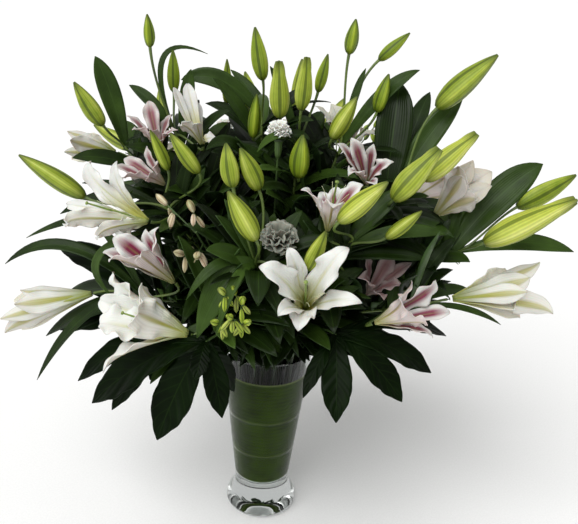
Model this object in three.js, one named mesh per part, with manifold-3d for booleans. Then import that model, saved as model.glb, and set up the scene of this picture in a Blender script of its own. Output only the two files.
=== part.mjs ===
// Lilies in a vase: a footed glass vase lined with rolled leaves and filled with water, and a large loose
// bouquet of lily stems with buds and open blooms, broad palmate leaves, carnations and sprays of small buds.
// Millimetres, +Z up. The origin is the centre of the foot's flat underside, and -Y is the front.
import * as THREE from "three";
import { mergeVertices } from "three/addons/utils/BufferGeometryUtils.js";
import Module from "manifold-3d";

const wasm = await Module();
wasm.setup();

// Driving dimensions
const VASE = {
  height: 300,
  rimRadius: 73.5,
  neckRadius: 45,
  neckHeight: 52,
  footRadius: 59,
  wall: 3.6,
  floor: 57,
  facets: 24,
};
const LINER = { thick: 0.8, bottom: 60, top: 262, bands: 3, lap: 14 };
const WATER = { top: 250 };
const STEM = {
  radius: 3.1,
  slim: 2.3,
  taper: 0.35,
  sides: 4,
  steps: 3,
  hole: 0.4,
  lift: 0.9, // above the vase's floor, with the water's bottom between
  mouthSpread: 1.93,
  arch: 0.06,
};
const PEDICEL = { radius: 2, tip: 2.4, sides: 3, steps: 2 };
const THROAT = { radius: 3.4, waist: 4.6, long: 9, sides: 6, sunk: 1.5, root: 4, bell: 9, layer: 3.2 };
const LEAF = { thick: 2, bow: 0.12, face: 0.55, cup: 0.15 };
const LOBE = { near: 0.13, far: 0.12, face: 0.5, cup: 0.1, arch: 0.2 };
const PETAL_THICK = 2.2;
const GAP = 0.35; // left between pieces that touch
const CLEAR = 0.3; // the least room between a bent piece and its neighbours
const BEND_STEP = 6; // how far a tip is moved at a time to bend it clear
const REACH = { bloom: 90, petal: 60, bud: 120, lobe: 120, sprig: 90, leaf: 180 }; // and how far in all
const RINGS = [
  { count: 1, radius: 0 },
  { count: 6, radius: 11.3 },
  { count: 10, radius: 20.5 },
  { count: 14, radius: 30.5 },
]; // where the stems stand on the vase's floor

// The eye that the bouquet is arranged for. A place is given by where it is seen from there, in pixels of
// a picture 578 wide and 524 high, and by how far behind the vase's middle it lies.
const EYE = new THREE.Vector3(27, -1050, 850);
const EYE_PITCH = THREE.MathUtils.degToRad(21.2);
const EYE_ROLL = THREE.MathUtils.degToRad(3.2);
const EYE_FOCUS = 732;
const PICTURE = { width: 578, height: 524 };

const UP = new THREE.Vector3(0, 0, 1);

function seen(x, y, depth) {
  const u = x - PICTURE.width / 2,
    v = PICTURE.height / 2 - y;
  const across = (u * Math.cos(EYE_ROLL) - v * Math.sin(EYE_ROLL)) / EYE_FOCUS,
    rise = (u * Math.sin(EYE_ROLL) + v * Math.cos(EYE_ROLL)) / EYE_FOCUS;
  const ray = new THREE.Vector3(
    across,
    Math.cos(EYE_PITCH) + rise * Math.sin(EYE_PITCH),
    rise * Math.cos(EYE_PITCH) - Math.sin(EYE_PITCH),
  );
  return ray.multiplyScalar((depth - EYE.y) / ray.y).add(EYE);
}

function at(x, y, z) {
  return new THREE.Vector3(x, y, z);
}

// A place moved along the line of sight, so that it looks the same from the eye.
function moved(place, shift) {
  return place.clone().addScaledVector(place.clone().sub(EYE).normalize(), shift);
}

function facing(place, share) {
  const toEye = EYE.clone().sub(place).normalize();
  return UP.clone().multiplyScalar(1 - share).addScaledVector(toEye, share).normalize();
}

function mix(a, b, share) {
  return a.clone().lerp(b, share);
}

// Solids

// A closed skin over rings of points: every ring has as many points, and an end ring of one point is a tip.
// The second half of each ring is split the other way round, so both faces of a blade are split alike.
function loft(rings) {
  const points = rings.flat(),
    faces = [];
  const starts = [];
  rings.reduce((start, ring) => (starts.push(start), start + ring.length), 0);
  const fan = (tip, start, count, turn) => {
    for (let j = 0; j < count; j++) {
      const pair = [start + j, start + ((j + 1) % count)];
      faces.push([tip, ...(turn ? pair.reverse() : pair)]);
    }
  };
  for (let i = 0; i + 1 < rings.length; i++) {
    const near = rings[i],
      far = rings[i + 1];
    if (near.length === 1) fan(starts[i], starts[i + 1], far.length, false);
    else if (far.length === 1) fan(starts[i + 1], starts[i], near.length, true);
    else
      for (let j = 0; j < near.length; j++) {
        const next = (j + 1) % near.length;
        const a = starts[i] + j,
          b = starts[i] + next,
          c = starts[i + 1] + next,
          d = starts[i + 1] + j;
        if (j < near.length / 2) faces.push([a, c, b], [a, d, c]);
        else faces.push([a, d, b], [b, d, c]);
      }
  }
  const geometry = new THREE.BufferGeometry();
  geometry.setAttribute(
    "position",
    new THREE.Float32BufferAttribute(points.flatMap((p) => [p.x, p.y, p.z]), 3),
  );
  geometry.setIndex(faces.flat());
  return solid(geometry);
}

function solid(geometry) {
  for (const name of ["normal", "uv"]) geometry.deleteAttribute(name);
  const merged = mergeVertices(geometry, 1e-3);
  const vertProperties = merged.attributes.position.array,
    triVerts = new Uint32Array(merged.index.array);
  const made = new wasm.Manifold(new wasm.Mesh({ numProp: 3, vertProperties, triVerts }));
  if (made.volume() > 0) return made;
  for (let i = 0; i < triVerts.length; i += 3)
    [triVerts[i + 1], triVerts[i + 2]] = [triVerts[i + 2], triVerts[i + 1]];
  return new wasm.Manifold(new wasm.Mesh({ numProp: 3, vertProperties, triVerts }));
}

function turned(profile) {
  const points = profile.map(([radius, height]) => new THREE.Vector2(radius, height));
  return solid(new THREE.LatheGeometry(points, VASE.facets).rotateX(Math.PI / 2));
}

function bezier(a, b, c, d) {
  return new THREE.CubicBezierCurve3(a, b, c, d);
}

function ring(centre, along, radius, sides) {
  const first = new THREE.Vector3(1, 0.2, 0.1).cross(along).normalize(),
    second = along.clone().cross(first).normalize();
  return Array.from({ length: sides }, (_, j) => {
    const angle = (2 * Math.PI * j) / sides;
    return centre
      .clone()
      .addScaledVector(first, radius * Math.cos(angle))
      .addScaledVector(second, radius * Math.sin(angle));
  });
}

// A round rod along a curve, whose radius goes from one end's to the other's.
function rod(curve, steps, sides, radius, endRadius = radius) {
  const rings = [[curve.getPoint(0)]];
  for (let i = 0; i <= steps; i++) {
    const t = i / steps;
    rings.push(
      ring(curve.getPoint(t), curve.getTangent(t), THREE.MathUtils.lerp(radius, endRadius, t), sides),
    );
  }
  rings.push([curve.getPoint(1)]);
  return loft(rings);
}

// A thin blade along a curve: its sections are lenses, widest at the stations given, and its edges are
// raised beside the middle by the cup.
function blade(curve, stations, { thick, cup, side }) {
  const rings = [[curve.getPoint(0)]];
  for (const [t, half] of stations) {
    const centre = curve.getPoint(t),
      along = curve.getTangent(t);
    const across = side(along, centre).normalize(),
      normal = along.clone().cross(across).normalize();
    const raised = centre.clone().addScaledVector(normal, half * cup);
    rings.push([
      raised.clone().addScaledVector(across, half),
      centre.clone().addScaledVector(normal, thick / 2),
      raised.clone().addScaledVector(across, -half),
      centre.clone().addScaledVector(normal, -thick / 2),
    ]);
  }
  rings.push([curve.getPoint(1)]);
  return loft(rings);
}

function fused(solids) {
  return solids.reduce((whole, next) => whole.add(next));
}

// Bending clear: each piece of a bouquet is tried where it is seen, then nearer and farther along the line
// of sight, until it clears the pieces of every other node.
const placed = [];
const crowded = [];

function boxesNear(a, b) {
  return [0, 1, 2].every((k) => a.min[k] - b.max[k] < CLEAR && b.min[k] - a.max[k] < CLEAR);
}

function isClear(node, shape) {
  const box = shape.boundingBox();
  return placed.every(
    (other) =>
      other.node === node || !boxesNear(box, other.box) || shape.minGap(other.shape, CLEAR) >= CLEAR,
  );
}

function keep(node, shape) {
  placed.push({ node, shape, box: shape.boundingBox() });
}

// build(shift) gives [node, solid] pairs.
function settle(label, reach, build) {
  const shifts = [0];
  for (let s = BEND_STEP; s <= reach; s += BEND_STEP) shifts.push(-s, s);
  for (const shift of shifts) {
    const parts = build(shift);
    if (parts.every(([node, shape]) => isClear(node, shape))) {
      parts.forEach(([node, shape]) => keep(node, shape));
      return shift;
    }
  }
  crowded.push(label);
  build(0).forEach(([node, shape]) => keep(node, shape));
  return 0;
}

// Vase, liner and water

const FLARE = (VASE.rimRadius - VASE.neckRadius) / (VASE.height - VASE.neckHeight);
const outside = (z) => VASE.neckRadius + (z - VASE.neckHeight) * FLARE;
const inside = (z) => outside(z) - VASE.wall;

function vaseGlass() {
  const foot = VASE.footRadius;
  const lip = VASE.wall / 2;
  return turned([
    [0, 0],
    [foot - 6, 0],
    [foot - 1.5, 2.5],
    [foot, 8],
    [foot - 1, 16],
    [foot - 5, 25],
    [foot - 11, 35],
    [VASE.neckRadius, VASE.neckHeight],
    [outside(VASE.height - lip), VASE.height - lip],
    [outside(VASE.height) - lip, VASE.height],
    [inside(VASE.height - lip), VASE.height - lip],
    [inside(VASE.floor + 5), VASE.floor + 5],
    [inside(VASE.floor) - 5, VASE.floor],
    [0, VASE.floor],
  ]);
}

// The liner's bands lap like shingles, the lowest one inmost.
function linerBand(index) {
  const step = (LINER.top - LINER.bottom) / LINER.bands;
  const low = LINER.bottom + index * step - (index ? LINER.lap : 0) + 3,
    high = LINER.bottom + (index + 1) * step;
  const inset = GAP + (LINER.bands - 1 - index) * (LINER.thick + GAP);
  const outer = (z) => inside(z) - inset;
  return turned([
    [outer(low), low],
    [outer(high), high],
    [outer(high) - LINER.thick, high],
    [outer(low) - LINER.thick, low],
    [outer(low), low],
  ]);
}

function waterBody(holes) {
  const inset = LINER.bands * (LINER.thick + GAP) + GAP;
  const low = VASE.floor + GAP;
  const body = turned([
    [0, low],
    [inside(low) - inset - 4, low],
    [inside(low + 8) - inset, low + 8],
    [inside(WATER.top) - inset, WATER.top],
    [0, WATER.top],
  ]);
  return holes.reduce((rest, hole) => rest.subtract(hole), body);
}

// Stems: each stands on the vase's floor, fans out to the mouth and bends on to its head. Those that lean
// most stand in the outer ring, and each ring is dealt round by the way its stems lean.
function dealStems(stems) {
  const lean = (stem) => Math.hypot(stem.head.x, stem.head.y) / (stem.head.z - VASE.neckHeight);
  const turn = (stem) => Math.atan2(stem.head.y, stem.head.x);
  const byLean = [...stems].sort((a, b) => lean(a) - lean(b));
  for (const { count, radius } of RINGS) {
    const own = byLean.splice(0, count).sort((a, b) => turn(a) - turn(b));
    const step = (2 * Math.PI) / own.length;
    const excess = own.map((stem, j) => turn(stem) - j * step);
    const start = Math.atan2(
      excess.reduce((sum, angle) => sum + Math.sin(angle), 0),
      excess.reduce((sum, angle) => sum + Math.cos(angle), 0),
    );
    own.forEach((stem, j) => {
      const angle = start + j * step;
      const spread = (share, z) =>
        at(radius * share * Math.cos(angle), radius * share * Math.sin(angle), z);
      stem.foot = spread(1, VASE.floor + STEM.lift);
      stem.mouth = spread(STEM.mouthSpread, VASE.height);
      const rise = stem.mouth.clone().sub(stem.foot).normalize();
      const span = stem.head.distanceTo(stem.mouth);
      stem.upper = bezier(
        stem.mouth,
        stem.mouth.clone().addScaledVector(rise, span * 0.4),
        mix(stem.mouth, stem.head, 0.65).addScaledVector(UP, span * (stem.arch ?? STEM.arch)),
        stem.head,
      );
    });
  }
}

function stemSolid(stem, extra = 0) {
  const radius = (stem.slim ? STEM.slim : STEM.radius) + extra;
  const rings = [[stem.foot.clone().addScaledVector(UP, -extra * 2)]];
  const rise = stem.mouth.clone().sub(stem.foot).normalize();
  rings.push(ring(rings[0][0], rise, radius, STEM.sides));
  const steps = extra ? 0 : STEM.steps;
  for (let i = 0; i <= steps; i++) {
    const t = i / Math.max(steps, 1);
    const taper = 1 - STEM.taper * t;
    rings.push(ring(stem.upper.getPoint(t), stem.upper.getTangent(t), radius * taper, STEM.sides));
  }
  rings.push([stem.upper.getPoint(steps ? 1 : 0)]);
  return loft(rings);
}

function pedicel(stem, from, base, axis) {
  const start = stem.upper.getPoint(from);
  const span = start.distanceTo(base);
  const leave = base.clone().sub(start).normalize().add(stem.upper.getTangent(from)).normalize();
  const curve = bezier(
    start,
    start.clone().addScaledVector(leave, span * 0.3),
    base.clone().addScaledVector(axis, -span * 0.35),
    base,
  );
  return rod(curve, PEDICEL.steps, PEDICEL.sides, PEDICEL.radius, PEDICEL.tip);
}

// A bud is a long spindle, fuller towards its base.
const BUD_SECTIONS = [
  [0.05, 0.5],
  [0.42, 1],
  [0.82, 0.7],
];

function budSolid(base, tip, wide) {
  const axis = tip.clone().sub(base).normalize();
  const rings = BUD_SECTIONS.map(([t, share]) => ring(mix(base, tip, t), axis, (wide / 2) * share, 5));
  return loft([[base], ...rings, [tip]]);
}

// Lily leaves are lance-shaped.
const LEAF_SECTIONS = [
  [0.34, 0.85],
  [0.74, 0.86],
];

function leafSolid(root, tip, leaf) {
  const span = root.distanceTo(tip);
  const curve = bezier(
    root,
    mix(root, tip, 0.33).addScaledVector(UP, span * (leaf.bow ?? LEAF.bow)),
    mix(root, tip, 0.7).addScaledVector(UP, span * (leaf.bow ?? LEAF.bow)),
    tip,
  );
  const up = facing(tip, leaf.face ?? LEAF.face);
  return blade(
    curve,
    LEAF_SECTIONS.map(([t, share]) => [t, (leaf.wide / 2) * share]),
    { thick: LEAF.thick, side: (along) => up.clone().cross(along), cup: LEAF.cup },
  );
}

// Blooms: a narrow throat, three outer petals and three broader inner ones that flare and bend back.
const OUTER_SHARE = 0.74; // of an inner petal's width
const PETAL_CUP = 0.22;
const PETAL_SECTIONS = [
  [0.22, 0.5],
  [0.54, 1],
  [0.82, 0.6],
];
const HALF_OPEN_SECTIONS = [
  [0.36, 0.66],
  [0.74, 0.92],
];

function bloomAxis(bloom, shift) {
  const base = moved(bloom.base, shift);
  const middle = bloom.tips
    .reduce((sum, tip) => sum.add(moved(tip, shift)), new THREE.Vector3())
    .divideScalar(bloom.tips.length);
  return { base, axis: middle.sub(base).normalize() };
}

function petalSolid(bloom, base, axis, tip, inner) {
  const rel = tip.clone().sub(base);
  const height = rel.dot(axis);
  const out = rel.clone().addScaledVector(axis, -height);
  const span = rel.length();
  const away = out.clone().normalize();
  const behind = inner ? 0 : THROAT.layer;
  const curve = bezier(
    base.clone().addScaledVector(away, THROAT.sunk),
    base
      .clone()
      .addScaledVector(axis, span * 0.42)
      .addScaledVector(away, (bloom.bell ?? THROAT.bell) + 2 * behind),
    base
      .clone()
      .addScaledVector(axis, height + span * bloom.curl - behind)
      .addScaledVector(out, 0.6)
      .addScaledVector(away, behind),
    tip,
  );
  const around = axis.clone().cross(away);
  const wide = inner ? bloom.wide : bloom.wide * OUTER_SHARE;
  const sections = bloom.stamens ? PETAL_SECTIONS : HALF_OPEN_SECTIONS;
  return blade(
    curve,
    sections.map(([t, share]) => [t, (wide / 2) * share]),
    { thick: PETAL_THICK, side: () => around.clone(), cup: bloom.cup ?? PETAL_CUP },
  );
}

function throatSolid(base, axis) {
  const along = (share) => base.clone().addScaledVector(axis, share);
  return loft([
    [along(GAP)],
    ring(along(1), axis, THROAT.radius, THROAT.sides),
    ring(along(THROAT.long), axis, THROAT.waist, THROAT.sides),
    [along(THROAT.long + 2)],
  ]);
}

// Three of the stamens, and the longer pistil between them, stand out of the throat of an open bloom.
const STAMEN = { count: 3, long: 0.86, pistil: 0.98, anther: 0.86, radius: 2.2 };

function stamenSolid(base, axis, length, turn, spread) {
  const isPistil = turn === STAMEN.count;
  const side = isPistil ? at(0, 0, 0) : ring(at(0, 0, 0), axis, spread, STAMEN.count)[turn];
  const end = base
    .clone()
    .addScaledVector(axis, length * (isPistil ? STAMEN.pistil : STAMEN.long))
    .add(side);
  const start = base.clone().addScaledVector(axis, THROAT.long / 2);
  return loft([[start], ring(mix(start, end, STAMEN.anther), axis, STAMEN.radius, 3), [end]]);
}

const root = new THREE.Group();

function addNode(name, shape, finish) {
  const mesh = shape.getMesh();
  const geometry = new THREE.BufferGeometry();
  geometry.setAttribute("position", new THREE.BufferAttribute(new Float32Array(mesh.vertProperties), 3));
  geometry.setIndex(new THREE.BufferAttribute(new Uint32Array(mesh.triVerts), 1));
  const material = new THREE.MeshStandardMaterial({ metalness: 0, ...finish });
  const made = new THREE.Mesh(geometry, material);
  made.name = name;
  root.add(made);
}

// The bouquet. A stem's buds, blooms and leaves say where on it they grow, from 0 at the mouth to 1 at
// its head.
const LILY_STEMS = [
  {
    name: "stem_top_left",
    head: seen(172, 126, 40),
    buds: [
      { tip: seen(147, 14, 20), base: seen(150, 47, 20), wide: 17, from: 1 },
      { tip: seen(173, 50, 70), base: seen(174, 92, 70), wide: 20, from: 0.96 },
    ],
    leaves: [
      { tip: seen(125, 146, -20), wide: 24, from: 0.75 },
      { tip: seen(168, 190, -60), wide: 24, from: 0.6 },
      { tip: seen(191, 69, 10), wide: 22, from: 0.9 },
      { tip: seen(129, 85, 60), wide: 19, from: 0.97 },
      { tip: seen(208, 54, 90), wide: 9, from: 0.95, bow: 0.42 },
    ],
  },
  {
    name: "stem_upper_left",
    head: seen(124, 146, 60),
    buds: [{ tip: seen(74, 82, 0), base: seen(103, 125, 10), wide: 27, from: 1 }],
    leaves: [
      { tip: seen(95, 56, 70), wide: 32, from: 0.98, face: 0.8 },
      { tip: seen(72, 158, 40), wide: 26, from: 0.85 },
      { tip: seen(60, 214, 70), wide: 26, from: 0.7 },
      { tip: seen(120, 120, 150), wide: 28, from: 0.8 },
    ],
  },
  {
    name: "stem_left",
    head: seen(165, 205, -50),
    buds: [
      { tip: seen(19, 155, -10), base: seen(85, 197, -20), wide: 30, from: 0.97 },
      { tip: seen(150, 130, -60), base: seen(168, 170, -60), wide: 18, from: 1 },
      { tip: seen(170, 133, -90), base: seen(199, 173, -90), wide: 22, from: 0.95 },
    ],
    leaves: [
      { tip: seen(82, 183, 0), wide: 17, from: 0.92 },
      { tip: seen(26, 238, 20), wide: 15, from: 0.85 },
      { tip: seen(160, 232, -150), wide: 20, from: 0.8 },
    ],
  },
  {
    name: "stem_low_left",
    head: seen(140, 297, -70),
    leaves: [
      { tip: seen(5, 264, -30), wide: 22, from: 0.95, bow: 0.2 },
      { tip: seen(37, 380, -60), wide: 19, from: 0.98, bow: 0.25 },
      { tip: seen(97, 225, 10), wide: 14, from: 0.95 },
      { tip: seen(60, 300, 60), wide: 34, from: 0.9 },
      { tip: seen(46, 336, 10), wide: 34, from: 0.85 },
    ],
  },
  {
    name: "stem_front_left",
    head: seen(208, 318, -165),
    leaves: [
      { tip: seen(178, 236, -200), wide: 18, from: 0.8 },
      { tip: seen(150, 384, -210), wide: 26, from: 0.9 },
    ],
  },
  {
    name: "stem_top",
    head: seen(262, 116, 60),
    buds: [
      { tip: seen(255, 27, 40), base: seen(263, 80, 40), wide: 25, from: 1 },
      { tip: seen(257, 94, 10), base: seen(253, 138, 10), wide: 20, from: 0.9 },
      { tip: seen(246, 93, 70), base: seen(246, 120, 70), wide: 14, from: 0.97 },
      { tip: seen(227, 59, 100), base: seen(227, 104, 100), wide: 17, from: 0.95 },
    ],
    leaves: [
      { tip: seen(181, 80, 60), wide: 28, from: 1, face: 0.85, bow: 0.08 },
      { tip: seen(212, 78, 20), wide: 22, from: 0.85 },
      { tip: seen(310, 140, -20), wide: 18, from: 0.75, bow: 0.25 },
      { tip: seen(206, 150, -50), wide: 24, from: 0.7, bow: 0.3 },
    ],
  },
  {
    name: "stem_centre",
    head: seen(256, 262, -165),
    buds: [
      { tip: seen(228, 191, -200), base: seen(256, 240, -205), wide: 29, from: 1 },
      { tip: seen(226, 143, -150), base: seen(233, 187, -155), wide: 25, from: 0.9 },
      { tip: seen(240, 148, -110), base: seen(259, 190, -115), wide: 27, from: 0.85 },
      { tip: seen(326, 231, -215), base: seen(307, 270, -205), wide: 23, from: 1 },
    ],
    leaves: [
      { tip: seen(197, 338, -215), wide: 40, from: 0.97, bow: 0.35, face: 0.7 },
      { tip: seen(258, 306, -235), wide: 34, from: 0.85, bow: 0.3 },
      { tip: seen(206, 250, -190), wide: 26, from: 0.9 },
    ],
  },
  {
    name: "stem_front",
    head: seen(300, 322, -120),
    leaves: [
      { tip: seen(330, 350, -190), wide: 24, from: 0.8 },
      { tip: seen(345, 280, -170), wide: 24, from: 0.85 },
    ],
  },
  {
    name: "stem_top_middle",
    head: seen(298, 148, 10),
    buds: [
      { tip: seen(279, 61, 0), base: seen(280, 118, 0), wide: 31, from: 1 },
      { tip: seen(307, 57, -20), base: seen(301, 110, -20), wide: 26, from: 1 },
      { tip: seen(328, 54, 40), base: seen(318, 92, 40), wide: 18, from: 1 },
      { tip: seen(303, 135, -60), base: seen(299, 178, -60), wide: 30, from: 0.9 },
    ],
    leaves: [
      { tip: seen(270, 66, 60), wide: 16, from: 1 },
      { tip: seen(262, 190, -70), wide: 24, from: 0.75 },
    ],
  },
  {
    name: "stem_top_right",
    head: seen(340, 148, 30),
    buds: [
      { tip: seen(356, 19, 40), base: seen(349, 54, 40), wide: 21, from: 1 },
      { tip: seen(389, 74, 20), base: seen(377, 112, 20), wide: 22, from: 0.95 },
      { tip: seen(357, 97, -40), base: seen(332, 139, -40), wide: 26, from: 0.95 },
      { tip: seen(410, 33, 90), base: seen(379, 60, 90), wide: 19, from: 1 },
    ],
    leaves: [
      { tip: seen(420, 70, 90), wide: 24, from: 1, bow: 0.15 },
      { tip: seen(366, 68, 60), wide: 12, from: 1 },
    ],
  },
  {
    name: "stem_right_upper",
    head: seen(396, 196, -20),
    buds: [
      { tip: seen(498, 55, 0), base: seen(437, 108, 0), wide: 35, from: 1 },
      { tip: seen(440, 149, -90), base: seen(393, 200, -100), wide: 36, from: 0.97 },
      { tip: seen(477, 134, -40), base: seen(424, 180, -50), wide: 34, from: 1 },
    ],
    leaves: [
      { tip: seen(400, 82, 40), wide: 54, from: 0.9, face: 0.85 },
      { tip: seen(463, 98, 30), wide: 34, from: 0.92, face: 0.8 },
      { tip: seen(430, 92, 90), wide: 30, from: 0.95 },
      { tip: seen(452, 205, 60), wide: 26, from: 0.75 },
    ],
  },
  {
    name: "stem_right",
    head: seen(462, 250, -10),
    buds: [
      { tip: seen(576, 175, 20), base: seen(517, 207, 10), wide: 31, from: 1 },
      { tip: seen(576, 200, -40), base: seen(484, 243, -50), wide: 42, from: 0.98 },
    ],
    leaves: [
      { tip: seen(543, 164, 40), wide: 50, from: 0.92, face: 0.8 },
      { tip: seen(574, 252, -10), wide: 27, from: 0.97, face: 0.7 },
      { tip: seen(470, 262, -70), wide: 24, from: 0.8 },
      { tip: seen(452, 190, 110), wide: 30, from: 0.8 },
    ],
  },
  {
    name: "stem_low_right",
    head: seen(418, 306, -90),
    leaves: [
      { tip: seen(501, 325, -40), wide: 17, from: 0.97 },
      { tip: seen(470, 290, -20), wide: 22, from: 0.85 },
      { tip: seen(400, 262, -120), wide: 24, from: 0.8 },
    ],
  },
  {
    name: "stem_centre_right",
    head: seen(352, 240, -120),
    buds: [
      { tip: seen(388, 182, -180), base: seen(339, 222, -175), wide: 28, from: 1 },
      { tip: seen(422, 211, -130), base: seen(386, 238, -130), wide: 19, from: 0.95 },
    ],
    leaves: [
      { tip: seen(447, 235, -110), wide: 20, from: 0.95, face: 0.7 },
      { tip: seen(385, 220, -90), wide: 12, from: 0.98 },
    ],
  },
  {
    name: "stem_back_left",
    head: at(-165, 150, 520),
    buds: [
      { tip: at(-330, 235, 590), base: at(-250, 200, 560), wide: 28, from: 1 },
      { tip: at(-215, 245, 660), base: at(-200, 200, 575), wide: 25, from: 1 },
    ],
    leaves: [
      { tip: at(-330, 160, 470), wide: 32, from: 0.9 },
      { tip: at(-255, 290, 430), wide: 34, from: 0.9 },
      { tip: at(-120, 250, 560), wide: 30, from: 0.85 },
      { tip: at(-270, 60, 400), wide: 30, from: 0.7 },
    ],
  },
  {
    name: "stem_back",
    head: at(20, 170, 570),
    buds: [
      { tip: at(-70, 285, 690), base: at(-45, 235, 625), wide: 27, from: 1 },
      { tip: at(30, 210, 725), base: at(25, 195, 640), wide: 24, from: 1 },
      { tip: at(110, 300, 650), base: at(80, 240, 600), wide: 28, from: 0.97 },
    ],
    leaves: [
      { tip: at(-40, 350, 500), wide: 34, from: 0.85 },
      { tip: at(120, 330, 530), wide: 32, from: 0.9 },
      { tip: at(-90, 220, 700), wide: 26, from: 0.95 },
    ],
  },
  {
    name: "stem_back_right",
    head: at(190, 130, 500),
    buds: [
      { tip: at(330, 230, 590), base: at(265, 185, 545), wide: 29, from: 1 },
      { tip: at(210, 210, 650), base: at(205, 180, 570), wide: 24, from: 1 },
    ],
    leaves: [
      { tip: at(350, 140, 480), wide: 32, from: 0.9 },
      { tip: at(270, 280, 440), wide: 34, from: 0.9 },
      { tip: at(140, 230, 560), wide: 30, from: 0.85 },
      { tip: at(290, 40, 380), wide: 30, from: 0.7 },
    ],
  },
];

// Six tips evenly round the mouth of a bloom that faces from its base towards the mouth's middle.
function mouthTips(base, middle, spread, turn = 0) {
  const axis = middle.clone().sub(base).normalize();
  return ring(middle, axis, spread, 6).map((tip, j, all) => mix(tip, all[(j + 1) % 6], turn));
}

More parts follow.
